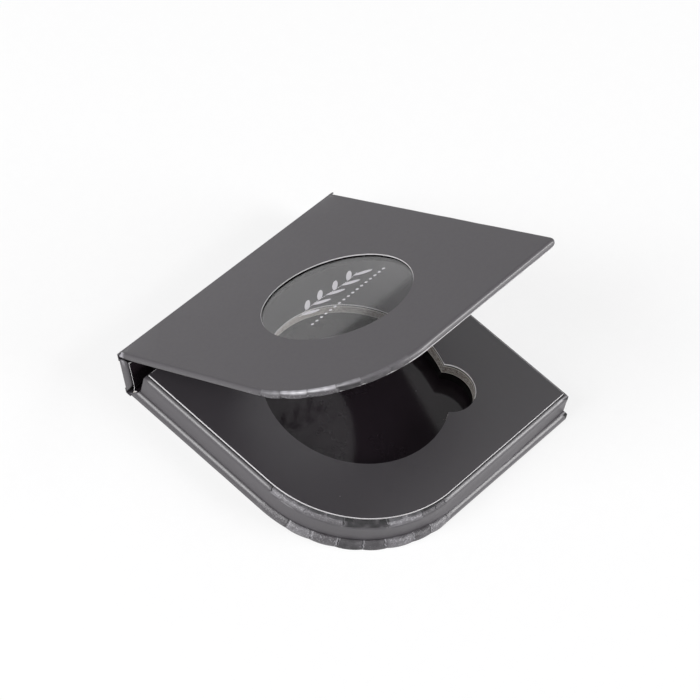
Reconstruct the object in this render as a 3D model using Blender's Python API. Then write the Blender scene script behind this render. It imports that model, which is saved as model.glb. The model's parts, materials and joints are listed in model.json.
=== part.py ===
"""Book-style makeup compact made of paper-wrapped board.

A wrapped base board carries a deep tray with a round pan well and a thumb notch.
A narrow wrapped spine and a wrapped cover with a clear window fold over it.
The compact stands half open. Units are metres, +Z is up, the origin is the centre
of the base's underside, the fold is at the back (+Y) and the one rounded corner
is at the front left (-X, -Y).
"""
import math
from collections import namedtuple

import bmesh
import bpy
from mathutils import Matrix, Vector, geometry

# Overall sizes
CASE_WIDTH = 0.0637
BASE_DEPTH = 0.0633
COVER_SETBACK = 0.0009
COVER_SIDE_INSET = 0.0003
CORNER_RADIUS = 0.0263
COVER_CORNER_RADIUS = 0.0244
SQUARE_CORNER_RADIUS = 0.0009
CASE_OFFSET_X = -0.0003

# Sheet stock
PAPER = 0.0002
LINER = 0.0002
CARD = 0.0003
FILM = 0.0002
GLUE_LINE = 0.0001
BASE_BOARD = 0.00135
TRAY_BOARD = 0.002075
SPINE_BOARD = 0.0015
COVER_BOARD = 0.0011

# Wrapped edges and the gathered paper round the large corner
CASE_EDGE_ROUND = 0.0005
TRAY_EDGE_ROUND = 0.0006
ROUND_STEPS = 3
CASE_TURN_IN = 0.0080
SPINE_TURN_IN = 0.0080
TRAY_TURN_IN = 0.0060
PLEATS = 8
PLEAT_LAP = 0.00012
DART_HALF_ANGLE = math.radians(1.6)
DART_TIP_INSET = 0.0009
LINER_INSET = 0.0012

# Tray, pan well and thumb notch
TRAY_SIDE_INSET = 0.0005
TRAY_FRONT_INSET = 0.0012
TRAY_OFFSET_X = 0.00025
TRAY_CORNER_INSET = 0.0010
CARD_INSET = 0.00135
CARD_RIGHT_INSET = 0.0006
CARD_REAR_INSET = 0.0003
CARD_CORNER_RADIUS = 0.0003
WELL_RADIUS = 0.0193
WELL_OFFSET_X = 0.00025
WELL_OFFSET_Y = 0.0010
NOTCH_RADIUS = 0.0058
NOTCH_OFFSET = 0.0186
NOTCH_ANGLE = math.radians(-44.5)

# Window in the cover, measured from the middle of the cover
WINDOW_RADIUS = 0.0154
WINDOW_OFFSET_X = 0.0
WINDOW_OFFSET_Y = -0.0005
FILM_MARGIN = 0.0030
LINER_WINDOW_MARGIN = 0.0006

# Magnets and steel discs, glued into punched holes near the two front corners
CLOSURE_RADIUS = 0.0040
CLOSURE_LEFT_INSET = 0.0082
CLOSURE_RIGHT_INSET = 0.0079
PAN_MAGNET_RADIUS = 0.0150
PAN_MAGNET_THICKNESS = 0.0006
FIT_CLEARANCE = 0.0001

# Folds
CLOSED_CLEARANCE = 0.0005
SPINE_CLEARANCE = 0.00015
FOLD_CLEARANCE = 0.00025
LOWER_FOLD_LEG = 0.0012
UPPER_FOLD_LEG = 0.0006
FOLD_ROUND = 0.0002
ARC_PULL = 0.55
LINER_FOLD_LEG = 0.0004
LINER_PULL = 0.0006
LINER_DIP = 0.0010
LINER_DIP_RUN = 0.0014
SPINE_LEAN = math.radians(24.93)
COVER_LIFT = math.radians(10.31)

# Facets
CORNER_STEPS = 24
SMALL_CORNER_STEPS = 3
WELL_STEPS = 72
NOTCH_STEPS = 20
WINDOW_STEPS = 72
DISC_STEPS = 32
FOLD_STEPS = 4
LINER_FOLD_STEPS = 8
FLAT_ANGLE = math.radians(0.2)
SHARP_ANGLE = math.radians(30)
LEVEL = 0.5
CUT_MARGIN = 0.002
BIG_CUT = 0.02
WELD = 1e-7

# Heights above the base's underside, worked out from the stock
PAPER_LAYER = PAPER + GLUE_LINE
LINER_LAYER = LINER + GLUE_LINE
BASE_CASED = 2 * PAPER_LAYER + BASE_BOARD
BASE_LINED = BASE_CASED + LINER_LAYER
TRAY_LOW = BASE_LINED + GLUE_LINE
UPPER_BOARD_LOW = TRAY_LOW + TRAY_BOARD + GLUE_LINE
BOARDS_TOP = UPPER_BOARD_LOW + TRAY_BOARD
TRAY_WRAP_TOP = BOARDS_TOP + PAPER_LAYER
CARD_LOW = TRAY_WRAP_TOP + GLUE_LINE
TRAY_TOP = CARD_LOW + CARD
COVER_CASED = 2 * PAPER_LAYER + COVER_BOARD
COVER_LINED = COVER_CASED + LINER_LAYER
SPINE_CASED = 2 * PAPER_LAYER + SPINE_BOARD
SPINE_LINED = SPINE_CASED + LINER_LAYER
SPINE_LENGTH = TRAY_TOP + CLOSED_CLEARANCE + COVER_LINED
SPINE_TOP = SPINE_LENGTH - COVER_LINED - FOLD_CLEARANCE

HINGE_Y = BASE_DEPTH / 2
COVER_DEPTH = BASE_DEPTH - COVER_SETBACK
HALF_WIDTH = CASE_WIDTH / 2
TRAY_REAR = HINGE_Y - SPINE_LINED - SPINE_CLEARANCE
TRAY_FRONT = -BASE_DEPTH / 2 + TRAY_FRONT_INSET
TRAY_HALF_WIDTH = HALF_WIDTH - TRAY_SIDE_INSET
WELL_CENTRE = (TRAY_OFFSET_X + WELL_OFFSET_X, (TRAY_REAR + TRAY_FRONT) / 2 + WELL_OFFSET_Y)
WINDOW_CENTRE = (WINDOW_OFFSET_X, WINDOW_OFFSET_Y - COVER_DEPTH / 2)

# Colours as seen, in sRGB, with roughness and metallic value
WRAP_FINISH = ((0.32, 0.315, 0.33), 0.42, 0.0)
GREYBOARD_FINISH = ((0.50, 0.47, 0.43), 0.9, 0.0)
BLACK_BOARD_FINISH = ((0.07, 0.065, 0.07), 0.8, 0.0)
LINER_FINISH = ((0.07, 0.068, 0.075), 0.2, 0.0)
CARD_FINISH = ((0.27, 0.265, 0.28), 0.5, 0.0)
FILM_FINISH = ((0.62, 0.61, 0.62), 0.08, 0.0)
MAGNET_FINISH = ((0.45, 0.44, 0.42), 0.35, 0.9)
FLEX_MAGNET_FINISH = ((0.12, 0.11, 0.11), 0.6, 0.1)
STEEL_FINISH = ((0.60, 0.60, 0.60), 0.3, 1.0)

Panel = namedtuple("Panel", "left right front rear corner_radius square_radius")

BASE_PANEL = Panel(-HALF_WIDTH, HALF_WIDTH, -BASE_DEPTH / 2, HINGE_Y + CUT_MARGIN,
                   CORNER_RADIUS, SQUARE_CORNER_RADIUS)
COVER_PANEL = Panel(COVER_SIDE_INSET - HALF_WIDTH, HALF_WIDTH - COVER_SIDE_INSET,
                    -COVER_DEPTH, CUT_MARGIN, COVER_CORNER_RADIUS, SQUARE_CORNER_RADIUS)
TRAY_PANEL = Panel(TRAY_OFFSET_X - TRAY_HALF_WIDTH, TRAY_OFFSET_X + TRAY_HALF_WIDTH,
                   TRAY_FRONT, TRAY_REAR, CORNER_RADIUS - TRAY_CORNER_INSET,
                   SQUARE_CORNER_RADIUS)
CARD_PANEL = Panel(TRAY_PANEL.left + CARD_INSET, TRAY_PANEL.right - CARD_RIGHT_INSET,
                   TRAY_FRONT + CARD_INSET, TRAY_REAR - CARD_REAR_INSET,
                   TRAY_PANEL.corner_radius - CARD_INSET, CARD_CORNER_RADIUS)


def clear_scene():
    for item in list(bpy.data.objects):
        bpy.data.objects.remove(item, do_unlink=True)


def new_collection(name):
    collection = bpy.data.collections.new(name)
    bpy.context.scene.collection.children.link(collection)
    return collection


def srgb_to_linear(value):
    return value / 12.92 if value <= 0.04045 else ((value + 0.055) / 1.055) ** 2.4


def new_material(name, finish):
    colour, roughness, metallic = finish
    material = bpy.data.materials.new(name)
    material.use_nodes = True
    shader = material.node_tree.nodes["Principled BSDF"]
    shader.inputs["Base Color"].default_value = (*map(srgb_to_linear, colour), 1.0)
    shader.inputs["Roughness"].default_value = roughness
    shader.inputs["Metallic"].default_value = metallic
    return material


def polar(centre, radius, angle):
    return (centre[0] + radius * math.cos(angle), centre[1] + radius * math.sin(angle))


def arc(centre, radius, start, end, steps):
    return [polar(centre, radius, start + (end - start) * i / steps) for i in range(steps + 1)]


def circle(centre, radius, steps):
    return arc(centre, radius, 0.0, math.tau, steps)[:-1]


def pleat_angles():
    """Angles of the pleats, evenly spread over the large corner's quarter turn."""
    step = math.pi / 2 / (PLEATS + 1)
    return [math.pi + step * (i + 1) for i in range(PLEATS)]


def pleated_arc(centre, radius):
    """Large corner as flats that each start a paper's lap above the one before."""
    half_step = math.pi / 4 / (PLEATS + 1)
    ridge = radius / math.cos(half_step)
    points = [polar(centre, radius, math.pi)]
    for angle in pleat_angles():
        points.append(polar(centre, ridge, angle))
        points.append(polar(centre, ridge + PLEAT_LAP, angle))
    return points + [polar(centre, radius, 1.5 * math.pi)]


def darted_arc(centre, radius, tip_radius):
    """Large corner of a turn-in's inner edge, with a dart cut towards each pleat."""
    points = [polar(centre, radius, math.pi)]
    for angle in pleat_angles():
        points.append(polar(centre, radius, angle - DART_HALF_ANGLE))
        points.append(polar(centre, tip_radius, angle))
        points.append(polar(centre, radius, angle + DART_HALF_ANGLE))
    return points + [polar(centre, radius, 1.5 * math.pi)]


def panel_outline(panel, inset=0.0, corner="round"):
    """Rectangle with one large corner at the front left, counter-clockwise."""
    left, right = panel.left + inset, panel.right - inset
    front, rear = panel.front + inset, panel.rear - inset
    centre = (panel.left + panel.corner_radius, panel.front + panel.corner_radius)
    radius = panel.corner_radius - inset
    if corner == "pleated":
        points = pleated_arc(centre, radius)
    elif corner == "darted":
        points = darted_arc(centre, radius, panel.corner_radius - DART_TIP_INSET)
    else:
        points = arc(centre, radius, math.pi, 1.5 * math.pi, CORNER_STEPS)
    small = panel.square_radius - inset
    corners = (((right, front), (-1, 1), -0.5), ((right, rear), (-1, -1), 0.0),
               ((left, rear), (1, -1), 0.5))
    for (x, y), (inward_x, inward_y), start in corners:
        if small <= WELD:
            points.append((x, y))
            continue
        middle = (x + inward_x * small, y + inward_y * small)
        points += arc(middle, small, start * math.pi, (start + 0.5) * math.pi,
                      SMALL_CORNER_STEPS)
    return points


def turn_in_opening(panel, turn_in, open_rear):
    """Inner edge of the paper that is turned over a panel's rims."""
    rear = panel.rear + turn_in + CUT_MARGIN if open_rear else panel.rear
    return panel_outline(panel._replace(rear=rear), turn_in, "darted")


def closure_centres():
    """Places of the closure magnets: behind the rounded corner and in the squared one."""
    corner = (CORNER_RADIUS - HALF_WIDTH, CORNER_RADIUS - BASE_DEPTH / 2)
    left = polar(corner, CORNER_RADIUS - CLOSURE_LEFT_INSET, 1.25 * math.pi)
    right = (HALF_WIDTH - CLOSURE_RIGHT_INSET, CLOSURE_RIGHT_INSET - BASE_DEPTH / 2)
    return {"left": left, "right": right}


def keyhole():
    """Round well joined to the smaller circle of the thumb notch."""
    reach = (WELL_RADIUS ** 2 - NOTCH_RADIUS ** 2 + NOTCH_OFFSET ** 2) / (2 * NOTCH_OFFSET)
    half_well = math.acos(reach / WELL_RADIUS)
    half_notch = math.acos((NOTCH_OFFSET - reach) / NOTCH_RADIUS)
    notch_centre = polar(WELL_CENTRE, NOTCH_OFFSET, NOTCH_ANGLE)
    well = arc(WELL_CENTRE, WELL_RADIUS, NOTCH_ANGLE + half_well,
               NOTCH_ANGLE - half_well + math.tau, WELL_STEPS)
    notch = arc(notch_centre, NOTCH_RADIUS, NOTCH_ANGLE - math.pi + half_notch,
                NOTCH_ANGLE + math.pi - half_notch, NOTCH_STEPS)
    return well + notch[1:-1]


def plate(loops, low, high):
    """Flat solid between two heights: the first loop is its outline, the rest holes."""
    curve = bpy.data.curves.new("outline", "CURVE")
    curve.dimensions = "2D"
    curve.fill_mode = "BOTH"
    curve.extrude = abs(high - low) / 2
    for loop in loops:
        spline = curve.splines.new("POLY")
        spline.points.add(len(loop) - 1)
        for point, (x, y) in zip(spline.points, loop):
            point.co = (x, y, 0.0, 1.0)
        spline.use_cyclic_u = True
    guide = bpy.data.objects.new("outline", curve)
    bpy.context.scene.collection.objects.link(guide)
    evaluated = guide.evaluated_get(bpy.context.evaluated_depsgraph_get())
    mesh = bpy.data.meshes.new_from_object(evaluated)
    solid = bmesh.new()
    solid.from_mesh(mesh)
    bpy.data.meshes.remove(mesh)
    bpy.data.objects.remove(guide, do_unlink=True)
    bpy.data.curves.remove(curve)
    bmesh.ops.remove_doubles(solid, verts=solid.verts, dist=WELD)
    bmesh.ops.dissolve_limit(solid, angle_limit=FLAT_ANGLE, verts=solid.verts,
                             edges=solid.edges)
    bmesh.ops.translate(solid, verts=solid.verts, vec=(0.0, 0.0, (low + high) / 2))
    bmesh.ops.recalc_face_normals(solid, faces=solid.faces)
    return solid


def round_rims(solid, radius):
    """Round the upper and lower rim of a plate."""
    heights = [vertex.co.z for vertex in solid.verts]
    solid.normal_update()

    def on_rim(edge):
        level = all(abs(vertex.co.z - edge.verts[0].co.z) < WELD for vertex in edge.verts)
        outer = edge.verts[0].co.z in (min(heights), max(heights))
        return level and outer and any(abs(face.normal.z) < LEVEL for face in edge.link_faces)

    rims = [edge for edge in solid.edges if on_rim(edge)]
    bmesh.ops.bevel(solid, geom=rims, offset=radius, offset_type="OFFSET", affect="EDGES",
                    segments=ROUND_STEPS, profile=0.5, material=-1, clamp_overlap=False)
    return solid


def profile_bar(profile, left, right):
    """Bar whose cross-section is given in the Y-Z plane, from left to right along X."""
    solid = plate([profile], left, right)
    upright = Matrix(((0, 0, 1, 0), (1, 0, 0, 0), (0, 1, 0, 0), (0, 0, 0, 1)))
    bmesh.ops.transform(solid, matrix=upright, verts=solid.verts)
    return solid


def ribbon(path, thickness, left, right):
    """Bent strip of paper that follows a path in the Y-Z plane."""
    points = [Vector(point) for point in path]
    upper, lower = [], []
    for i, point in enumerate(points):
        run = points[min(i + 1, len(points) - 1)] - points[max(i - 1, 0)]
        side = Vector((-run.y, run.x)).normalized() * thickness / 2
        upper.append(tuple(point + side))
        lower.append(tuple(point - side))
    return profile_bar(upper + lower[::-1], left, right)


def disc(centre, radius, low, high):
    solid = bmesh.new()
    place = Matrix.Translation((centre[0], centre[1], (low + high) / 2))
    bmesh.ops.create_cone(solid, cap_ends=True, segments=DISC_STEPS, radius1=radius,
                          radius2=radius, depth=abs(high - low), matrix=place)
    return solid


def block(low_corner, high_corner):
    solid = bmesh.new()
    bmesh.ops.create_cube(solid, size=1.0)
    low_corner, high_corner = Vector(low_corner), Vector(high_corner)
    bmesh.ops.scale(solid, vec=high_corner - low_corner, verts=solid.verts)
    bmesh.ops.translate(solid, vec=(high_corner + low_corner) / 2, verts=solid.verts)
    return solid


def spine_point(depth, height):
    """Place in the Y-Z plane of a point inside the spine, measured from the lower crease."""
    return (HINGE_Y + height * math.sin(SPINE_LEAN) - depth * math.cos(SPINE_LEAN),
            height * math.cos(SPINE_LEAN) + depth * math.sin(SPINE_LEAN))


def cover_point(forward, depth):
    """Place in the spine's own Y-Z plane of a point inside the cover."""
    return (-forward * math.cos(COVER_LIFT) - depth * math.sin(COVER_LIFT),
            SPINE_LENGTH + forward * math.sin(COVER_LIFT) - depth * math.cos(COVER_LIFT))


def smooth_path(start, start_pull, end_pull, end, steps):
    knots = [Vector((*point, 0.0)) for point in (start, start_pull, end_pull, end)]
    return [point.xy for point in geometry.interpolate_bezier(*knots, steps)]


class Compact:
    """The compact's objects, cutters and folds."""

    def __init__(self):
        clear_scene()
        self.parts = new_collection("makeup_compact")
        self.cutters = new_collection("cutters")
        self.spine_fold = self.fold("spine_fold", (CASE_OFFSET_X, HINGE_Y, 0.0), SPINE_LEAN)
        self.cover_fold = self.fold("cover_fold", (0.0, 0.0, SPINE_LENGTH), COVER_LIFT,
                                    self.spine_fold)

    def fold(self, name, location, opening, parent=None):
        """Empty on a crease, turned about it, that carries the pieces beyond the crease."""
        empty = bpy.data.objects.new(name, None)
        self.parts.objects.link(empty)
        empty.parent = parent
        empty.location = location
        empty.rotation_euler.x = -opening
        return empty

    def part(self, name, solid, finish, parent=None):
        mesh = bpy.data.meshes.new(name)
        solid.to_mesh(mesh)
        solid.free()
        mesh.materials.append(new_material(name, finish))
        mesh.shade_smooth()
        mesh.set_sharp_from_angle(angle=SHARP_ANGLE)
        item = bpy.data.objects.new(name, mesh)
        self.parts.objects.link(item)
        item.parent = parent
        return item

    def cutter(self, name, solid, parent=None):
        mesh = bpy.data.meshes.new(name)
        solid.to_mesh(mesh)
        solid.free()
        item = bpy.data.objects.new(name, mesh)
        self.cutters.objects.link(item)
        item.parent = parent
        item.hide_render = True
        item.display_type = "WIRE"
        return item

    def cut(self, item, *cutters):
        for cutter in cutters:
            boolean = item.modifiers.new("cut " + cutter.name, "BOOLEAN")
            boolean.operation = "DIFFERENCE"
            boolean.solver = "EXACT"
            boolean.object = cutter


def wrapped_panel(compact, name, panel, board, side, parent, rear_trim):
    """Board and its wrap. side is 1 where the lined face is up, -1 where it is down."""
    cased = 2 * PAPER_LAYER + board
    core = plate([panel_outline(panel, PAPER_LAYER)], side * PAPER_LAYER,
                 side * (PAPER_LAYER + board))
    core = round_rims(core, CASE_EDGE_ROUND - PAPER_LAYER)
    board_item = compact.part(name + "_board", core, GREYBOARD_FINISH, parent)
    compact.cut(board_item, rear_trim)

    skin = round_rims(plate([panel_outline(panel, 0.0, "pleated")], 0.0, side * cased),
                      CASE_EDGE_ROUND)
    wrap_item = compact.part(name + "_wrap", skin, WRAP_FINISH, parent)
    cavity = round_rims(plate([panel_outline(panel, PAPER)], side * PAPER,
                              side * (cased - PAPER)), CASE_EDGE_ROUND - PAPER)
    opening = plate([turn_in_opening(panel, CASE_TURN_IN, True)],
                    side * (cased - 2 * PAPER), side * (cased + PAPER))
    compact.cut(wrap_item, compact.cutter(name + "_cavity", cavity, parent),
                compact.cutter(name + "_turn_in_opening", opening, parent), rear_trim)
    return board_item, wrap_item


def base_rear_trim():
    """Cuts the base's rear end to a short land and a mitre that leans away from the spine."""
    land = HINGE_Y - LOWER_FOLD_LEG
    mitre_foot = LOWER_FOLD_LEG - FOLD_CLEARANCE
    profile = [(land, -CUT_MARGIN), (HINGE_Y + BIG_CUT, -CUT_MARGIN),
               (HINGE_Y + BIG_CUT, BIG_CUT), (HINGE_Y - FOLD_CLEARANCE - BIG_CUT, BIG_CUT),
               (land, mitre_foot)]
    return profile_bar(profile, -CASE_WIDTH, CASE_WIDTH)


def make_base(compact):
    trim = compact.cutter("base_rear_trim", base_rear_trim())
    board, _ = wrapped_panel(compact, "base", BASE_PANEL, BASE_BOARD, 1, None, trim)

    board_top = PAPER_LAYER + BASE_BOARD
    pocket_floor = board_top - PAN_MAGNET_THICKNESS - GLUE_LINE
    pocket = disc(WELL_CENTRE, PAN_MAGNET_RADIUS + FIT_CLEARANCE, pocket_floor,
                  board_top + CUT_MARGIN)
    compact.cut(board, compact.cutter("pan_magnet_pocket", pocket))
    magnet = disc(WELL_CENTRE, PAN_MAGNET_RADIUS, board_top - PAN_MAGNET_THICKNESS, board_top)
    compact.part("pan_magnet", magnet, FLEX_MAGNET_FINISH)

    liner = plate([panel_outline(BASE_PANEL, TRAY_FRONT_INSET + LINER_INSET)],
                  BASE_CASED + GLUE_LINE, BASE_LINED)
    compact.cut(compact.part("base_liner", liner, LINER_FINISH), trim)


def below(compact, name, height):
    """Cutter that removes everything under a height."""
    solid = block((-CASE_WIDTH, -CASE_WIDTH, -BIG_CUT), (CASE_WIDTH, CASE_WIDTH, height))
    return compact.cutter(name, solid)


def make_tray(compact):
    well = keyhole()
    board_outline = panel_outline(TRAY_PANEL, PAPER_LAYER)
    lower = plate([board_outline, well], TRAY_LOW, TRAY_LOW + TRAY_BOARD)
    compact.part("tray_board_lower", lower, BLACK_BOARD_FINISH)

    core = plate([board_outline], UPPER_BOARD_LOW - CUT_MARGIN, BOARDS_TOP)
    core = round_rims(core, TRAY_EDGE_ROUND - PAPER_LAYER)
    upper = compact.part("tray_board_upper", core, GREYBOARD_FINISH)
    compact.cut(upper, below(compact, "upper_board_underside", UPPER_BOARD_LOW),
                compact.cutter("well_cutter", plate([well], -BIG_CUT, BIG_CUT)))
    for name, centre in closure_centres().items():
        magnet = disc(centre, CLOSURE_RADIUS, UPPER_BOARD_LOW, BOARDS_TOP)
        compact.part("closure_magnet_" + name, magnet, MAGNET_FINISH)
        hole = disc(centre, CLOSURE_RADIUS + FIT_CLEARANCE, 0.0, BIG_CUT)
        compact.cut(upper, compact.cutter("magnet_hole_" + name, hole))

    skin = plate([panel_outline(TRAY_PANEL, 0.0, "pleated")],
                 TRAY_LOW - CUT_MARGIN, TRAY_WRAP_TOP)
    wrap = compact.part("tray_wrap", round_rims(skin, TRAY_EDGE_ROUND), WRAP_FINISH)
    cavity = plate([panel_outline(TRAY_PANEL, PAPER)], TRAY_LOW - BIG_CUT,
                   TRAY_WRAP_TOP - PAPER)
    cavity = round_rims(cavity, TRAY_EDGE_ROUND - PAPER)
    opening = plate([turn_in_opening(TRAY_PANEL, TRAY_TURN_IN, False)],
                    TRAY_WRAP_TOP - 2 * PAPER, TRAY_WRAP_TOP + PAPER)
    compact.cut(wrap, compact.cutter("tray_cavity", cavity),
                compact.cutter("tray_turn_in_opening", opening),
                below(compact, "tray_underside", TRAY_LOW))

    card = plate([panel_outline(CARD_PANEL), well], CARD_LOW, TRAY_TOP)
    compact.part("tray_card", card, CARD_FINISH)


def spine_lower_trim():
    """Cuts the spine's lower end to a mitre that meets the base's when closed."""
    foot = LOWER_FOLD_LEG
    profile = [(CUT_MARGIN, -CUT_MARGIN), (CUT_MARGIN, foot), (FOLD_CLEARANCE - foot, foot),
               (-BIG_CUT, BIG_CUT + FOLD_CLEARANCE), (-BIG_CUT, -CUT_MARGIN)]
    return profile_bar(profile, -CASE_WIDTH, CASE_WIDTH)


def make_spine(compact):
    parent = compact.spine_fold
    trim = compact.cutter("spine_lower_trim", spine_lower_trim(), parent)

    def upright(inset, outer, inner):
        return block((-HALF_WIDTH + inset, -inner, 0.0), (HALF_WIDTH - inset, -outer, SPINE_TOP))

    board = upright(PAPER_LAYER, PAPER_LAYER, PAPER_LAYER + SPINE_BOARD)
    compact.cut(compact.part("spine_board", board, GREYBOARD_FINISH, parent), trim)

    wrap = compact.part("spine_wrap", upright(0.0, 0.0, SPINE_CASED), WRAP_FINISH, parent)
    cavity = block((-HALF_WIDTH + PAPER, PAPER - SPINE_CASED, -BIG_CUT),
                   (HALF_WIDTH - PAPER, -PAPER, BIG_CUT))
    opening = block((-HALF_WIDTH + SPINE_TURN_IN, -BIG_CUT, -BIG_CUT),
                    (HALF_WIDTH - SPINE_TURN_IN, 2 * PAPER - SPINE_CASED, BIG_CUT))
    compact.cut(wrap, compact.cutter("spine_cavity", cavity, parent),
                compact.cutter("spine_turn_in_opening", opening, parent), trim)

    liner = upright(LINER_INSET / 2, SPINE_CASED + GLUE_LINE, SPINE_LINED)
    compact.cut(compact.part("spine_liner", liner, LINER_FINISH, parent), trim)


def make_cover(compact):
    parent = compact.cover_fold
    rear = block((-CASE_WIDTH, -UPPER_FOLD_LEG, -BIG_CUT), (CASE_WIDTH, BIG_CUT, BIG_CUT))
    trim = compact.cutter("cover_rear_trim", rear, parent)
    board, wrap = wrapped_panel(compact, "cover", COVER_PANEL, COVER_BOARD, -1, parent, trim)
    window = plate([circle(WINDOW_CENTRE, WINDOW_RADIUS, WINDOW_STEPS)], -BIG_CUT, BIG_CUT)
    window = compact.cutter("window_hole", window, parent)
    compact.cut(board, window)
    compact.cut(wrap, window)

    film_low = -PAPER_LAYER - FILM
    film = plate([circle(WINDOW_CENTRE, WINDOW_RADIUS + FILM_MARGIN, WINDOW_STEPS)],
                 film_low, -PAPER_LAYER)
    compact.part("window_film", film, FILM_FINISH, parent)
    seat = circle(WINDOW_CENTRE, WINDOW_RADIUS + FILM_MARGIN + FIT_CLEARANCE, WINDOW_STEPS)
    seat = plate([seat], film_low - GLUE_LINE, -PAPER_LAYER + CUT_MARGIN)
    compact.cut(board, compact.cutter("film_seat", seat, parent))

    mouth = circle(WINDOW_CENTRE, WINDOW_RADIUS + LINER_WINDOW_MARGIN, WINDOW_STEPS)
    liner_panel = COVER_PANEL._replace(rear=LINER_INSET - SPINE_LINED - LINER_FOLD_LEG)
    liner = plate([panel_outline(liner_panel, LINER_INSET), mouth],
                  -COVER_CASED - GLUE_LINE, -COVER_LINED)
    compact.part("cover_liner", liner, LINER_FINISH, parent)

    board_low = -PAPER_LAYER - COVER_BOARD
    for name, (x, y) in closure_centres().items():
        centre = (x - CASE_OFFSET_X, y - HINGE_Y)
        hole = disc(centre, CLOSURE_RADIUS + FIT_CLEARANCE, -BIG_CUT, -PAPER_LAYER + CUT_MARGIN)
        compact.cut(board, compact.cutter("closure_hole_" + name, hole, parent))
        steel = disc(centre, CLOSURE_RADIUS, board_low, -PAPER_LAYER)
        compact.part("closure_disc_" + name, steel, STEEL_FINISH, parent)


def crease_path(first, crease, last):
    """Two straight legs joined by a round bend at the crease."""
    first, crease, last = Vector(first), Vector(crease), Vector(last)
    enter = crease + (first - crease).normalized() * FOLD_ROUND
    leave = crease + (last - crease).normalized() * FOLD_ROUND
    bend = smooth_path(enter, enter.lerp(crease, ARC_PULL), leave.lerp(crease, ARC_PULL),
                       leave, FOLD_STEPS)
    return [first, *bend, last]


def make_folds(compact):
    """Strips of wrap and liner that bend where the spine joins the base and the cover."""
    left, right = -HALF_WIDTH, HALF_WIDTH
    middle = PAPER / 2

    lower = crease_path((HINGE_Y - LOWER_FOLD_LEG + GLUE_LINE, middle),
                        (HINGE_Y - middle * math.tan(math.pi / 4 - SPINE_LEAN / 2), middle),
                        spine_point(middle, LOWER_FOLD_LEG - GLUE_LINE))
    compact.part("lower_fold_wrap", ribbon(lower, PAPER, left, right), WRAP_FINISH)

    inner = SPINE_CASED + GLUE_LINE + LINER / 2
    liner_height = BASE_CASED + GLUE_LINE + LINER / 2
    start = (HINGE_Y - FOLD_CLEARANCE - BASE_CASED, liner_height)
    spine_start = SPINE_CASED + FOLD_CLEARANCE
    dip = smooth_path(start, (start[0] + LINER_DIP_RUN, liner_height - LINER_DIP),
                      spine_point(inner, spine_start - LINER_DIP_RUN),
                      spine_point(inner, spine_start), LINER_FOLD_STEPS)
    compact.part("lower_fold_liner",
                 ribbon(dip, LINER, left + LINER_INSET / 2, right - LINER_INSET / 2),
                 LINER_FINISH)

    upper = crease_path((-middle, SPINE_TOP + GLUE_LINE), (-middle, SPINE_LENGTH - middle),
                        cover_point(UPPER_FOLD_LEG - GLUE_LINE, middle))
    compact.part("upper_fold_wrap", ribbon(upper, PAPER, left, right), WRAP_FINISH,
                 compact.spine_fold)

    start = (-inner, SPINE_TOP + GLUE_LINE)
    reach = SPINE_LINED + LINER_FOLD_LEG - GLUE_LINE
    depth = COVER_CASED + GLUE_LINE + LINER / 2
    bend = smooth_path(start, (start[0], start[1] + LINER_PULL),
                       cover_point(reach - LINER_PULL, depth), cover_point(reach, depth),
                       LINER_FOLD_STEPS)
    compact.part("upper_fold_liner",
                 ribbon(bend, LINER, left + LINER_INSET / 2, right - LINER_INSET / 2),
                 LINER_FINISH, compact.spine_fold)


def main():
    compact = Compact()
    make_base(compact)
    make_tray(compact)
    make_spine(compact)
    make_cover(compact)
    make_folds(compact)


main()
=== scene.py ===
"""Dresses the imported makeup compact: paper wraps, card, window, folds and a plain studio.

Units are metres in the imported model's own frame. The base lies flat, the spine and the
cover are built flat in their own frames and then turned to where the folds hold them.
"""
import json
import math

import bmesh
import bpy
from mathutils import Matrix, Vector, noise
from mathutils.geometry import interpolate_bezier


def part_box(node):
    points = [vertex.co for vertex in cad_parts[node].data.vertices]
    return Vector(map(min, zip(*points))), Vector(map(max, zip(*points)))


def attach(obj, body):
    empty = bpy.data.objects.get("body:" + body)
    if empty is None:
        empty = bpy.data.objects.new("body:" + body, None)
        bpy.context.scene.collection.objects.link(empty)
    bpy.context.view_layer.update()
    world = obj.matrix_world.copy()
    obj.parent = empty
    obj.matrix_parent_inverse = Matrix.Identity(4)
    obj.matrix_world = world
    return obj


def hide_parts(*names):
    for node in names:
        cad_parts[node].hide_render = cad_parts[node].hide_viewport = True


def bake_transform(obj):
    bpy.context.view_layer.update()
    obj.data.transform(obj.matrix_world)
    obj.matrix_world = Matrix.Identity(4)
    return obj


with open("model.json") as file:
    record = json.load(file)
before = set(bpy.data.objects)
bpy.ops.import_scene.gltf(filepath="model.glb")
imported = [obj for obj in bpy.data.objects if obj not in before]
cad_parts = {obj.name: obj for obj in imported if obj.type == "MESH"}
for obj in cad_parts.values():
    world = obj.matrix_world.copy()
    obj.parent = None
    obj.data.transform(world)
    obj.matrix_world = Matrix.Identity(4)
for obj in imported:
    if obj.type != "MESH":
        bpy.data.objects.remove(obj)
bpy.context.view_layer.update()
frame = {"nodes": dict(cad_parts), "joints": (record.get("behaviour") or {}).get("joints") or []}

bl_info = {
    "name": "Makeup compact",
    "version": (1, 0, 0),
    "blender": (4, 5, 0),
    "location": "View3D > Sidebar > Compact",
    "description": "Builds the papers, card, window, folds and studio of a folding makeup compact",
    "category": "Object",
}

MM = 0.001
WELD = 1e-7


# ---------------------------------------------------------------- frames and sizes

def middle(low, high):
    return (low + high) / 2


def joint_place(name, turn):
    """Frame on a crease, turned by the angle at which the fold stands."""
    _, y, z = JOINTS[name]["pos_m"]
    return Matrix.Translation((CASE_MIDDLE, y, z)) @ Matrix.Rotation(-turn, 4, "X")


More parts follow.
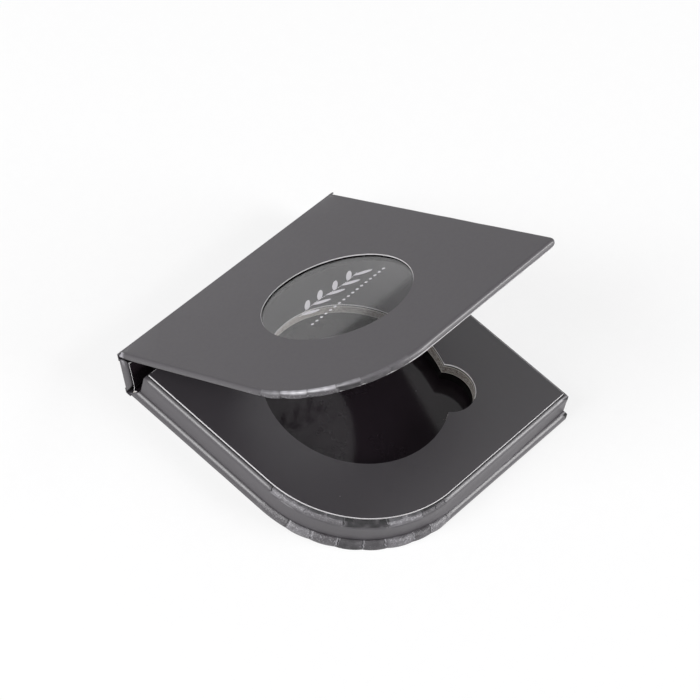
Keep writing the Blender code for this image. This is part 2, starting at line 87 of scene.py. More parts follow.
# How far each fold stands open in the photographed pose, and the panels' own frames
JOINTS = {joint["name"]: joint for joint in frame["joints"]}
LEAN, LIFT = (-math.radians(JOINTS[name]["range_deg"][0])
              for name in ("spine_fold", "cover_fold"))
COVER_LEFT, COVER_RIGHT = (corner.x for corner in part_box("cover_wrap"))
CASE_MIDDLE = middle(COVER_LEFT, COVER_RIGHT)
COVER_HALF = (COVER_RIGHT - COVER_LEFT) / 2
ON_SPINE = joint_place("spine_fold", LEAN)
ON_COVER = joint_place("cover_fold", LEAN + LIFT)
CREASE_Y = ON_SPINE.translation.y
SPINE_LENGTH = (ON_COVER.translation - ON_SPINE.translation).length

CASE_HALF, BASE_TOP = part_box("base_wrap")[1].x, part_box("base_wrap")[1].z
TRAY_WRAP_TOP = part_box("tray_wrap")[1].z
UPPER_BOARD_LOW, BOARDS_TOP = (corner.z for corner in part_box("tray_board_upper"))
CARD_LOW, CARD_TOP = (corner.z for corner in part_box("tray_card"))

# Layers of the case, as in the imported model
SHEET = 0.2 * MM
GLUE = 0.1 * MM
COVER_CASED = 1.7 * MM
COVER_LINED = 2.0 * MM
SPINE_CASED = 2.1 * MM
SPINE_LINED = 2.4 * MM
SPINE_TOP = 7.55 * MM
COVER_DEPTH = 62.4 * MM
FOLD_LEG = 1.2 * MM
UPPER_LEG = 0.6 * MM
MITRE_GAP = 0.25 * MM
FILM_TOP = -0.4 * MM
FILM = 0.1 * MM
BASE_CORNER = 26.3 * MM
TRAY_CORNER = 25.3 * MM
CARD_CORNER = 25.5 * MM
CARD_GROWTH = 0.27 * MM
COVER_CORNER = 24.4 * MM
COVER_NOSE = 1.15 * MM
COVER_UNDER = 0.9 * MM
LINER = 0.12 * MM
EAR = 0.04 * MM
WELL_CENTRE = Vector((0.5 * MM, 0.325 * MM))
WELL_RADIUS = 19.3 * MM
NOTCH_RADIUS = 5.8 * MM
NOTCH_OFFSET = 18.6 * MM
NOTCH_TURN = math.radians(-44.5)
NOTCH_CENTRE = Vector((WELL_CENTRE.x + NOTCH_OFFSET * math.cos(NOTCH_TURN),
                       WELL_CENTRE.y + NOTCH_OFFSET * math.sin(NOTCH_TURN)))
WINDOW_CENTRE = Vector((0.0, -31.7 * MM))
WINDOW_RADIUS = 15.4 * MM

# Turned-in paper, the film's and the liners' margins, the air left between liners and between
# faces that lie on each other, and what is built past an end and cut off again
CASE_TURN_IN = 8 * MM
TRAY_TURN_IN = 6 * MM
FILM_MARGIN = 3.0 * MM
LINER_INSET = 1.2 * MM
LINER_EDGE = 0.75 * MM
SPINE_LINER_INSET = 0.6 * MM
LINER_GAP = 0.4 * MM
HAIR = 0.02 * MM
SPARE = 3 * MM

# Narrow ring of faces that keeps a flat face flat, and the run between cuts across a fold
SUPPORT = 0.06 * MM
FOLD_RUN = 0.22 * MM

# Values stored on a wrap, and the finishes that several pieces share
# The crease value carries painted shade; the lip value carries pale rubbing and painted highlight.
SHADE_AND_WEAR_LAYERS = ("crease", "lip", "worked")
WRAP, LINING, CORE = "wrap_paper_satin", "liner_gloss", "cut_core"

# Gathers round the large corner: degrees about its centre, strength, and how much pale rubbing
# and painted highlight (above 0) or painted shade (below 0) the lap after each has at root and lip
BASE_GATHERS = ((192.6, 1.0, -0.1, 0.30), (203.8, 0.8, 0.25, 0.0), (215.0, 0.9, -0.3, -0.4),
                (227.0, 1.0, -0.5, -0.3), (238.0, 0.8, -0.1, 0.18), (250.0, 0.9, -0.2, -0.1),
                (259.6, 0.9, 0.0, 0.2), (269.2, 0.6, 0.0, 0.0))
TRAY_GATHERS = ((181.0, 1.0, 0.0, 0.25), (199.5, 1.0, 0.0, 0.12), (216.5, 0.9, 0.0, -0.7),
                (237.7, 1.0, 0.0, 0.22), (254.9, 0.6, 0.0, -0.2), (262.4, 0.7, 0.0, -0.2),
                (268.2, 0.5, 0.0, 0.0))
COVER_GATHERS = ((186.5, 0.8, 0.25, 0.05), (196.8, 0.9, 0.9, 0.0), (210.4, 1.0, 0.8, -0.05),
                 (223.7, 1.0, 0.4, -0.6), (235.0, 0.9, 0.1, -0.3), (248.4, 1.0, 0.1, -0.3),
                 (259.0, 0.9, 0.0, 0.0))


LENGTH = {"subtype": "DISTANCE", "unit": "LENGTH"}
COLOUR = {"min": 0.0, "max": 1.0, "size": 3, "subtype": "COLOR"}


class CompactSettings(bpy.types.PropertyGroup):
    """Sizes and colours that a user would change."""

    case_round: bpy.props.FloatProperty(
        name="Case edge", description="Rounding of the base's paper-covered edge",
        default=1.2 * MM, min=0.1 * MM, max=1.5 * MM, **LENGTH)
    cover_round: bpy.props.FloatProperty(
        name="Cover edge", description="Rounding of the cover's paper-covered edge",
        default=0.7 * MM, min=0.1 * MM, max=0.8 * MM, **LENGTH)
    tray_round: bpy.props.FloatProperty(
        name="Tray edge", description="Rounding of the tray's upper rim",
        default=1.05 * MM, min=0.1 * MM, max=1.3 * MM, **LENGTH)
    gather_height: bpy.props.FloatProperty(
        name="Gather height", description="How far one gathered lap of paper stands up",
        default=0.24 * MM, min=0.0, max=0.3 * MM, **LENGTH)
    paper_colour: bpy.props.FloatVectorProperty(
        name="Wrap paper", description="Graphite paper round the boards",
        default=(0.0550, 0.0495, 0.0570), **COLOUR)
    card_colour: bpy.props.FloatVectorProperty(
        name="Top card", description="Dark card on top of the tray",
        default=(0.0275, 0.0242, 0.0285), **COLOUR)
    liner_colour: bpy.props.FloatVectorProperty(
        name="Liner", description="Glossy black liner paper",
        default=(0.0125, 0.0092, 0.0120), **COLOUR)
    core_colour: bpy.props.FloatVectorProperty(
        name="Cut edge", description="Pale core that shows where card and liner are cut",
        default=(0.66, 0.645, 0.66), **COLOUR)
    board_colour: bpy.props.FloatVectorProperty(
        name="Greyboard", description="Raw board in the well's wall",
        default=(0.19, 0.17, 0.152), **COLOUR)
    print_colour: bpy.props.FloatVectorProperty(
        name="Window print", description="Silver leaf motif on the window",
        default=(0.78, 0.76, 0.80), **COLOUR)


# ---------------------------------------------------------------- outlines and sheets

def soften(bm, geom, size, segments, affect="EDGES", slot=-1):
    """Rounds edges or corners off to a size."""
    bmesh.ops.bevel(bm, geom=geom, offset=size, offset_type="OFFSET", affect=affect,
                    segments=segments, profile=0.5, material=slot, clamp_overlap=False)


def draw_out(bm, faces, move):
    """Draws a copy of faces out along a move, with walls between the two."""
    grown = bmesh.ops.extrude_face_region(bm, geom=faces, use_keep_orig=True)["geom"]
    verts = [item for item in grown if isinstance(item, bmesh.types.BMVert)]
    bmesh.ops.translate(bm, vec=move, verts=verts)
    return verts


def outline(bm, left, right, front, rear, large, small, height, arc_steps, run=0.6 * MM):
    """Closed chain of edges: a rectangle with one large rounded corner at the front left."""
    before = set(bm.faces)

    def face():
        return next(item for item in bm.faces if item not in before)

    made = bmesh.ops.create_grid(bm, x_segments=1, y_segments=1, size=0.5)["verts"]
    bmesh.ops.scale(bm, vec=(right - left, rear - front, 1.0), verts=made)
    bmesh.ops.translate(bm, vec=(middle(left, right), middle(front, rear), height), verts=made)
    first = min(made, key=lambda vert: vert.co.x + vert.co.y)
    others = [vert for vert in made if vert is not first]
    soften(bm, [first], large, arc_steps, "VERTICES")
    if small > 0:
        soften(bm, others, small, 5, "VERTICES")
    for edge in list(face().edges):
        cuts = int(edge.calc_length() / run)
        if cuts > 1:
            bmesh.ops.subdivide_edges(bm, edges=[edge], cuts=cuts)
    edges = list(face().edges)
    bmesh.ops.delete(bm, geom=[face()], context="FACES_ONLY")
    return edges


def ring(bm, centre, radius, height, steps=144):
    """Closed chain of edges round a circle."""
    made = bmesh.ops.create_circle(bm, cap_ends=False, segments=steps, radius=radius,
                                   matrix=Matrix.Translation((*centre, height)))["verts"]
    return list(dict.fromkeys(edge for vert in made for edge in vert.link_edges))


def keyhole(bm, height, grow=0.0):
    """Closed chain round the pan well and the thumb notch, spun from one corner point."""
    well, notch = WELL_RADIUS + grow, NOTCH_RADIUS + grow
    reach = (well ** 2 - notch ** 2 + NOTCH_OFFSET ** 2) / (2 * NOTCH_OFFSET)
    half_well = math.acos(reach / well)
    half_notch = math.acos((NOTCH_OFFSET - reach) / notch)
    start = NOTCH_TURN + half_well
    before = set(bm.verts)
    corner = bm.verts.new((WELL_CENTRE.x + well * math.cos(start),
                           WELL_CENTRE.y + well * math.sin(start), height))
    turned = bmesh.ops.spin(bm, geom=[corner], cent=(*WELL_CENTRE, height), axis=(0, 0, 1),
                            angle=math.tau - 2 * half_well, steps=150)
    bmesh.ops.spin(bm, geom=turned["geom_last"][:1], cent=(*NOTCH_CENTRE, height),
                   axis=(0, 0, 1), angle=math.tau - 2 * half_notch, steps=50)
    chain = [vert for vert in bm.verts if vert not in before]
    doubles = [vert for vert in chain if (vert.co - corner.co).length < 1e-5]
    bmesh.ops.remove_doubles(bm, verts=doubles, dist=2e-5)
    return list(dict.fromkeys(edge for vert in chain if vert.is_valid
                              for edge in vert.link_edges))


def fill(bm, edges):
    """Flat sheet between closed chains of edges."""
    made = bmesh.ops.triangle_fill(bm, use_beauty=True, use_dissolve=False, edges=edges)
    return [item for item in made["geom"] if isinstance(item, bmesh.types.BMFace)]


def thicken(bm, faces, depth, side_slot, burr=0.0):
    """Flat sheet drawn out to a depth, with its cut sides in a finish of their own, and a
    burr along its outermost rim and on the side of the notch that a thumb rubs."""
    verts = draw_out(bm, faces, (0, 0, depth))
    bmesh.ops.recalc_face_normals(bm, faces=bm.faces)
    bm.normal_update()
    for face in bm.faces:
        if abs(face.normal.z) < 0.5:
            face.material_index = side_slot
    if burr > 0:
        rim = [edge for vert in verts for edge in vert.link_edges
               if ((vert.co.xy - WELL_CENTRE).length > WELL_RADIUS + NOTCH_RADIUS
                   or (vert.co.xy - NOTCH_CENTRE).length < NOTCH_RADIUS + 0.1 * MM
                   and vert.co.x + 0.5 * vert.co.y > NOTCH_CENTRE.x + 0.5 * NOTCH_CENTRE.y)
               and {abs(face.normal.z) < 0.5 for face in edge.link_faces} == {True, False}]
        soften(bm, list(dict.fromkeys(rim)), burr, 2, slot=side_slot)


def draw_in(bm, edges, centre, radius, height):
    """Draws a round rim in to another radius and height, in the pale finish of a cut."""
    grown = bmesh.ops.extrude_edge_only(bm, edges=edges)["geom"]
    for vert in grown:
        if isinstance(vert, bmesh.types.BMVert):
            out = (vert.co.xy - centre).normalized() * radius
            vert.co = (centre.x + out.x, centre.y + out.y, height)
    for face in grown:
        if isinstance(face, bmesh.types.BMFace) and height < 0:
            face.material_index = 1
    return [item for item in grown if isinstance(item, bmesh.types.BMEdge)]


def cut(bm, spot, facing, drop=False, dist=1e-6):
    """Cuts edges into a piece along a plane, and can drop what lies beyond it."""
    bmesh.ops.bisect_plane(bm, geom=bm.verts[:] + bm.edges[:] + bm.faces[:], dist=dist,
                           plane_co=spot, plane_no=facing, clear_outer=drop)


def cut_lines(bm, axis, places, dist=1e-6):
    """Cuts loops of edges into a piece at places along an axis."""
    facing = Vector([float(i == axis) for i in range(3)])
    for place in places:
        cut(bm, facing * place, facing, dist=dist)


def drop_faces(bm, chosen):
    """Opens a piece where the middle of a face is chosen."""
    faces = [face for face in bm.faces if chosen(face.calc_center_median())]
    bmesh.ops.delete(bm, geom=faces, context="FACES")


def lies_at(item, height):
    """Whether an edge or face lies at a height."""
    return all(abs(vert.co.z - height) < WELD for vert in item.verts)


def boundary(bm, height):
    """Edges of the open rim that lies at a height."""
    return [edge for edge in bm.edges if edge.is_boundary and lies_at(edge, height)]


# ---------------------------------------------------------------- finished pieces

def finish_piece(bm, name, body, materials, place=None, replaced=(), sharp=35.0,
                 thickness=0.0):
    """Mesh object at the origin, with its place in its mesh, that rides on its body; given a tuple
    instead of a body, it stays where it is built.
    """
    if place is not None:
        bmesh.ops.transform(bm, matrix=place, verts=bm.verts)
    bmesh.ops.recalc_face_normals(bm, faces=bm.faces)
    mesh = bpy.data.meshes.new(name)
    bm.to_mesh(mesh)
    bm.free()
    for material in materials:
        mesh.materials.append(bpy.data.materials[material])
    mesh.shade_smooth()
    mesh.set_sharp_from_angle(angle=math.radians(sharp))
    piece = bpy.data.objects.new(name, mesh)
    bpy.context.scene.collection.objects.link(piece)
    if thickness:
        wall = piece.modifiers.new("paper", "SOLIDIFY")
        wall.thickness = thickness
        wall.offset = -1.0
        wall.use_quality_normals = True
        wall.material_offset_rim = len(materials) - 1
        true = piece.modifiers.new("flats", "WEIGHTED_NORMAL")
        true.keep_sharp = True
        true.weight = 100
    if isinstance(body, tuple):
        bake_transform(piece)
    else:
        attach(piece, body)
    if replaced:
        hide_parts(*replaced)
    return piece


def smooth(value, low, high):
    """0 below low, 1 above high, eased between."""
    share = min(1.0, max(0.0, (value - low) / (high - low)))
    return share * share * (3 - 2 * share)


def lap(run):
    """Cross-section of one gathered lap along the corner, from the pinch up to the lip."""
    if -0.4 < run < 0.0:
        return -0.6 * (1 + run / 0.4) ** 1.5
    if 0.0 <= run < 2.0:
        return 0.55 * (1 - run / 2.0) ** 2
    return 0.0


def inward(spot, low, high, corner):
    """How far inside a panel's outline a spot lies, its rear side left aside."""
    centre = Vector((low.x + corner, low.y + corner))
    if spot.x < centre.x and spot.y < centre.y:
        return corner - (spot.xy - centre).length
    return min(spot.x - low.x, high.x - spot.x, spot.y - low.y)


def gather(bm, corner, radius, gathers, height, share_of, low, high, flatten, wear_and_highlight=1.0,
           pinch=2.4):
    """Presses gathers, flats and small dents of hand-turned paper into a wrap, within the
    panel's own limits; marks painted shade, pale rubbing with painted highlight, and working."""
    bm.normal_update()
    centre = Vector((corner.x + radius, corner.y + radius))
    crease, lip, worked = (bm.verts.layers.float.new(layer) for layer in SHADE_AND_WEAR_LAYERS)
    dent, deepest = 0.03 * MM, -0.2 * MM
    broad, fine, grit = 130.0, 420.0, 900.0
    lip_width, cross_width = 0.2, 0.16
    moves = []
    for vert in bm.verts:
        x, y, z = vert.co
        share = share_of(vert.co)
        push = 0.0
        flat = abs(vert.normal.z) > 0.98
        if not flat:
            push -= dent / 3 * (0.6 + noise.noise(Vector((x, y, z)) * fine))
            push -= dent * (0.6 + noise.noise(Vector((x, y, 3 * z)) * broad))
        if x < centre.x + 1.5 * MM and y < centre.y + 1.5 * MM and (share > 0 or not flat):
            turn = math.degrees(math.atan2(y - centre.y, x - centre.x)) % 360
            edge = smooth(turn, 172.0, 186.0) * (1 - smooth(turn, 264.0, 278.0))
            vert[worked] = share * edge
            for at, strength, *_ in gathers:
                run = math.radians(turn - at) * radius / MM
                run += 0.9 * noise.noise(Vector((at, share * 2.5, 0.0)))
                run += 0.35 * noise.noise(Vector((at * 2.0, z * 2500.0, 0.0)))
                value = lap(run) * strength * share
                push += value * height * (0.35 if flat else 1.0)
                # A pinch's groove is also darkened through the crease value: painted shade.
                vert[crease] = min(1.0, max(vert[crease], -pinch * value))
                slant = 2.6 * noise.noise(Vector((at * 0.37, 5.0, 0.0)))
                cross = abs(run - 0.1 + slant * (share - 0.6))
                cross += 0.5 * max(0.0, noise.noise(Vector((at, 3.0 * share, 9.0))))
                # The lap's leading edge and the slanted cross lines are painted pale: rubbing and
                # painted highlight.
                if 0.0 <= run < lip_width:
                    vert[lip] = max(vert[lip], (1 - run / lip_width) * strength * share * wear_and_highlight)
                if cross < cross_width and share > 0:
                    vert[lip] = max(vert[lip], (1 - cross / cross_width) * strength * wear_and_highlight)
            for (first, _, root, tip), (last, *_) in zip(gathers, gathers[1:]):
                if first <= turn < last:
                    part = (turn - first) / (last - first)
                    crown = 4 * part * (1 - part)
                    if share > 0:
                        push -= flatten * crown * ((last - first) / 12) ** 2
                    tilt = noise.noise(Vector((first * 0.7, 2.0, 0.0)))
                    if not flat:
                        push += 0.25 * MM * tilt * (share - 0.5) * crown * edge
                    # Lap tone: above 0 goes into the lip value as pale rubbing and painted
                    # highlight, below 0 into the crease value as painted shade.
                    tone = root + (tip - root) * smooth(share, 0.0, 0.15 + 0.6 * part)
                    tone *= min(1.0, (8.0 if tone > 0 else 2.5) * crown)
                    tone *= 0.9 + 0.7 * noise.noise(Vector((x, y, z)) * grit)
                    vert[lip] = max(vert[lip], tone)
                    vert[crease] = max(vert[crease], -tone)
        moves.append((vert, vert.normal * max(push, deepest)))
    for vert, move in moves:
        spot = vert.co + move
        vert.co = [min(max(value, least), most)
                   for value, least, most in zip(spot, low, high)]


def slab(left, right, front, rear, large, small, low, high, low_round, high_round,
         loops=3, arc_steps=320, steps=8):
    """Closed slab with round rims, as a flat panel's paper lies round its board."""
    bm = bmesh.new()
    edges = outline(bm, left, right, front, rear, large, small, low, arc_steps)
    face = bmesh.ops.contextual_create(bm, geom=edges)["faces"]
    draw_out(bm, face, (0, 0, high - low))
    for height, size in ((low, low_round), (high, high_round)):
        if size > 0:
            soften(bm, [edge for edge in bm.edges if lies_at(edge, height)], size, steps)
    run = high - high_round - low - low_round
    cut_lines(bm, 2, [low + low_round + run * (i + 1) / (loops + 1) for i in range(loops)],
              dist=1e-8)
    return bm


def block(size, centre):
    """Box of a size about its centre."""
    bm = bmesh.new()
    made = bmesh.ops.create_cube(bm, size=1.0)["verts"]
    bmesh.ops.scale(bm, vec=size, verts=made)
    bmesh.ops.translate(bm, vec=centre, verts=made)
    return bm


def cut_end(bm, spot, facing, rounding):
    """Cuts an end off a slab, closes it and softens its rim."""
    cut(bm, spot, facing, drop=True)
    rim = [edge for edge in bm.edges if edge.is_boundary]
    bmesh.ops.contextual_create(bm, geom=rim)
    soften(bm, rim, rounding, 3)


def square_up(bm, across, inner, top, end, reach, share):
    """Fills a round rim out towards a square one near its end, where paper lies double."""
    for vert in bm.verts:
        out, rise = inner - vert.co[across], vert.co.z - top
        left_over = 1 - abs(end - vert.co[1 - across]) / reach
        if out > 0 and rise > 0 and left_over > 0:
            grow = (math.hypot(out, rise) / max(out, rise) - 1) * share * left_over
            vert.co[across] -= out * grow
            vert.co.z += rise * grow


def mark(bm, name, value_of):
    """Raises a stored value on a wrap where a function of the spot says so."""
    layer = bm.verts.layers.float.get(name) or bm.verts.layers.float.new(name)
    for vert in bm.verts:
        vert[layer] = min(1.0, max(vert[layer], value_of(vert.co)))


def band(value, at, half):
    """1 at a place, falling to 0 at half a width from it."""
    return max(0.0, 1 - abs(value - at) / half)


def open_face(bm, height, hole_edges_of, supports=(SUPPORT,)):
    """Swaps a slab's flat face for a flat ring that ends at another chain of edges."""
    face = max((item for item in bm.faces if lies_at(item, height)),
               key=lambda item: item.calc_area())
    for support in supports:
        bmesh.ops.inset_region(bm, faces=[face], thickness=support, use_even_offset=True)
        for vert in face.verts:
            vert.co.z = height
    rim = list(face.edges)
    bmesh.ops.delete(bm, geom=[face], context="FACES_ONLY")
    return fill(bm, rim + hole_edges_of(bm))


def turn_in(bm, left, right, front, rear, corner, height, fold, *supports):
    """Opens a slab's flat face as far as its paper is turned in."""
    open_face(bm, height, lambda mesh: outline(
        mesh, left + fold, right - fold, front + fold, rear, corner - fold, 0.0, height,
        60, 5 * MM), (SUPPORT, *supports))


# ---------------------------------------------------------------- materials

class Net:
    """Nodes of a material, a shader group or the world, made and joined by name."""

    def __init__(self, tree):
        self.nodes, self.links = tree.nodes, tree.links

    def feed(self, node, inputs):
        """Joins a node's inputs to the outputs of other nodes, or sets their values."""
        for name, value in inputs.items():
            if isinstance(value, bpy.types.NodeSocket):
                self.links.new(value, node.inputs[name])
            else:
                node.inputs[name].default_value = value

    def node(self, kind, inputs=None, **settings):
        """Outputs of a new node, with its settings made and its inputs fed."""
        node = self.nodes.new("ShaderNode" + kind)
        for name, value in settings.items():
            setattr(node, name, value)
        self.feed(node, inputs or {})
        return node.outputs

    def chain(self, value, *steps):
        """Takes a value through steps of sums: operation, other value, and any clamp."""
        for operation, other, *clamp in steps:
            value = self.node("Math", {0: value, 1: other}, operation=operation,
                              use_clamp=bool(clamp))[0]
        return value

    def noise(self, vector, scale, detail, roughness=0.5):
        return self.node("TexNoise", {"Vector": vector, "Scale": scale, "Detail": detail,
                                      "Roughness": roughness})["Fac"]

    def blend(self, factor, first, second, kind="RGBA"):
        return self.node("Mix", {"Factor": factor, "A": first, "B": second},
                         data_type=kind)["Result"]

    def place(self, stretch=(1.0, 1.0, 1.0)):
        """Place on the piece in metres, drawn together along the axes that are stretched."""
        spot = self.node("TexCoord")["Object"]
        return spot if max(stretch) == 1.0 else self.node(
            "Mapping", {"Vector": spot, "Scale": stretch})["Vector"]


def effect_group(name, inputs, outputs):
    """Empty shader group with named sockets, its net, its entry's outputs and its exit."""
    group = bpy.data.node_groups.new(name, "ShaderNodeTree")
    for socket, kind, *value in inputs:
        made = group.interface.new_socket(socket, in_out="INPUT",
                                          socket_type="NodeSocket" + kind)
        if value:
            made.default_value = value[0]
    for socket, kind in outputs:
        group.interface.new_socket(socket, in_out="OUTPUT", socket_type="NodeSocket" + kind)
    net = Net(group)
    return (group, net, net.nodes.new("NodeGroupInput").outputs,
            net.nodes.new("NodeGroupOutput"))


def paper_group():
    """Coated paper's clouds, dust, fibre and grain: a colour, a roughness and a height, and
    the specks of coat that break where the paper is worked."""
    group, net, given, out = effect_group(
        "paper_surface",
        (("Vector", "Vector"), ("Colour", "Color"), ("Cloud", "Float", 0.06),
         ("Dust", "Float", 0.5), ("Roughness", "Float", 0.4), ("Worked", "Float", 0.0)),
        (("Colour", "Color"), ("Roughness", "Float"), ("Height", "Float"),
         ("Speck", "Float")))
    vector = given["Vector"]
    grain = net.noise(vector, 5200.0, 2.0, 0.6)
    fibre = net.noise(vector, 1300.0, 3.0, 0.55)
    pebble = net.noise(vector, 3000.0, 3.0, 0.55)
    speck = net.node("TexVoronoi", {"Vector": vector, "Scale": 260.0})
    chosen = net.chain(net.noise(speck["Position"], 900.0, 0.0), ("GREATER_THAN", 0.60))
    dust = net.chain(speck["Distance"], ("LESS_THAN", 0.030), ("MULTIPLY", chosen),
                     ("MULTIPLY", given["Dust"]))
    tone = net.chain(net.noise(vector, 90.0, 4.0, 0.6), ("SUBTRACT", 0.5),
                     ("MULTIPLY", given["Cloud"]), ("MULTIPLY", 2.0), ("ADD", 1.0))
    toned = net.node("VectorMath", {0: given["Colour"], "Scale": tone}, operation="SCALE")
    cracked = net.chain(pebble, ("SUBTRACT", 0.53), ("MULTIPLY", 7.0, True),
                        ("MULTIPLY", given["Worked"]), ("MULTIPLY", 0.45))
    pebbled = net.chain(pebble, ("MULTIPLY", given["Worked"]), ("MULTIPLY", 90.0))
    net.feed(out, {
        "Colour": net.blend(dust, toned[0], (0.30, 0.30, 0.32, 1.0)),
        "Roughness": net.chain(fibre, ("SUBTRACT", 0.5), ("MULTIPLY", 0.12),
                               ("ADD", given["Roughness"], True)),
        "Height": net.chain(fibre, ("MULTIPLY", 0.6), ("ADD", grain), ("ADD", pebbled)),
        "Speck": cracked})
    return group


def shade_and_wear_group():
    """Painted shade in the pinches and gaps, and pale rubbing with painted highlight on the lips,
    from the values stored on the piece.
    """
    group, net, given, out = effect_group(
        "fold_shade_and_wear",
        (("Colour", "Color"), ("Crease", "Float", 0.0), ("Lip", "Float", 0.0),
         ("Dark", "Color", (0.008, 0.008, 0.009, 1.0)),
         ("Worn", "Color", (0.42, 0.41, 0.44, 1.0))),
        (("Colour", "Color"),))
    # The dark colour is painted shade; the pale colour is rubbed paper and painted highlight.
    dark = net.blend(given["Crease"], given["Colour"], given["Dark"])
    net.feed(out, {"Colour": net.blend(given["Lip"], dark, given["Worn"])})
    return group


def new_material(name):
    """The net and the shader of a new material."""
    material = bpy.data.materials.new(name)
    material.use_nodes = True
    net = Net(material.node_tree)
    return net, net.nodes["Principled BSDF"]


def sheet_material(name, colour, roughness, cloud=0.06, dust=0.5, bump=0.04, creased=False,
                   specular=0.5):
    """Coated paper or card with its surface group."""
    net, shader = new_material(name)
    given = {"Vector": net.place(), "Colour": (*colour, 1.0), "Cloud": cloud, "Dust": dust,
             "Roughness": roughness}
    if creased:
        crease, lip, worked = (net.node("Attribute", attribute_name=layer)["Fac"]
                               for layer in SHADE_AND_WEAR_LAYERS)
        given["Worked"] = worked
    groups = bpy.data.node_groups
    surface = net.node("Group", given, node_tree=groups.get("paper_surface") or paper_group())
    colour_out, rough_out = surface["Colour"], surface["Roughness"]
    if creased:
        # Crease darkens the colour as painted shade and roughens it; lip and the cracked coat's
        # specks pale it, the lip partly as painted highlight.
        speck = net.chain(surface["Speck"], ("SUBTRACT", crease, True))
        rough_out = net.chain(rough_out, ("ADD", crease, True))
        colour_out = net.node(
            "Group", {"Colour": colour_out, "Crease": crease,
                      "Lip": net.chain(lip, ("ADD", speck, True))},
            node_tree=groups.get("fold_shade_and_wear") or shade_and_wear_group())["Colour"]
    relief = net.node("Bump", {"Distance": bump * 0.05 * MM, "Height": surface["Height"]})
    net.feed(shader, {"Base Color": colour_out, "Roughness": rough_out,
                      "Specular IOR Level": specular, "Normal": relief["Normal"]})


def board_material(name, colour, fleck, share, specular=0.2, lips=None):
    """Raw pressed board: matted fibres with flecks, paler at the two lips of its cut."""
    net, shader = new_material(name)
    vector = net.place((1.0, 1.0, 2.0))
    fibre = net.chain(net.noise(vector, 2000.0, 4.0, 0.75), ("SUBTRACT", 0.45),
                      ("MULTIPLY", 6.0, True))
    flecks = net.chain(net.noise(vector, 5200.0, 2.0, 0.5), ("SUBTRACT", 0.55),
                       ("MULTIPLY", 8.0, True))
    mixed = net.chain(fibre, ("ADD", flecks), ("MULTIPLY", share, True))
    if lips:
        level = net.node("SeparateXYZ", {0: net.place()})["Z"]
        pale = net.chain(level, ("SUBTRACT", middle(*lips)), ("ABSOLUTE", 0.0),
                         ("SUBTRACT", (lips[1] - lips[0]) / 2 - 0.2 * MM),
                         ("MULTIPLY", 10000.0, True))
        mixed = net.chain(mixed, ("MAXIMUM", pale))
    relief = net.node("Bump", {"Strength": 0.6, "Distance": 0.05 * MM, "Height": fibre})
    net.feed(shader, {"Base Color": net.blend(mixed, (*colour, 1.0), (*fleck, 1.0)),
                      "Roughness": 0.9, "Specular IOR Level": specular,
                      "Normal": relief["Normal"]})


def metal_material(name, colour, roughness, metallic):
    """Plated or rolled metal with fine drawn marks."""
    net, shader = new_material(name)
    marks = net.noise(net.place((1.0, 12.0, 1.0)), 900.0, 4.0, 0.6)
    dull = (*[part * 0.8 for part in colour], 1.0)
    net.feed(shader, {"Metallic": metallic, "Base Color": net.blend(marks, dull, (*colour, 1.0)),
                      "Roughness": net.chain(marks, ("MULTIPLY", 0.2),
                                             ("ADD", roughness, True))})


def film_material(name):
    """Clear window film with faint ripples."""
    net, shader = new_material(name)
    haze = net.noise(net.place(), 90.0, 2.0, 0.4)
    net.feed(shader, {"Base Color": (0.93, 0.93, 0.94, 1.0), "Transmission Weight": 1.0,
                      "IOR": 1.5, "Roughness": net.chain(haze, ("MULTIPLY", 0.03),
                                                         ("ADD", 0.01))})


def ready(context):
    """The settings, once every sheet, board, metal and film finish is made."""
    looks = context.scene.compact_looks
    if WRAP not in bpy.data.materials:
        sheet_material(WRAP, looks.paper_colour, 0.42, dust=0.15, creased=True, specular=1.0)
        sheet_material("top_card_satin", looks.card_colour, 0.42, cloud=0.10, specular=0.9)
        sheet_material(LINING, looks.liner_colour, 0.10, cloud=0.15, dust=0.2, bump=0.01,
                       specular=0.36)
        sheet_material(CORE, looks.core_colour, 0.8, cloud=0.12, dust=0.0, bump=0.3)
        sheet_material("adhesive_black", (0.006, 0.006, 0.007), 0.5, bump=0.1)
        board_material("raw_greyboard", looks.board_colour, (0.74, 0.70, 0.66), 0.6,
                       lips=(UPPER_BOARD_LOW, BOARDS_TOP))
        # Paler copy of the cut core for the card's edge round the well: a painted highlight.
        sheet_material("cut_core_clean", (0.95, 0.93, 0.94), 0.8, dust=0.0)
        board_material("black_board_raw", (0.004, 0.0036, 0.004), (0.012, 0.011, 0.011), 0.4,
                       specular=0.05)
        metal_material("plated_magnet", (0.55, 0.54, 0.52), 0.25, 1.0)
        metal_material("steel_disc", (0.60, 0.60, 0.61), 0.3, 1.0)
        metal_material("magnet_sheet_rubber", (0.03, 0.028, 0.028), 0.5, 0.0)
        metal_material("silver_print", looks.print_colour, 0.35, 0.3)
        film_material("clear_film")
    return looks


# ---------------------------------------------------------------- operators

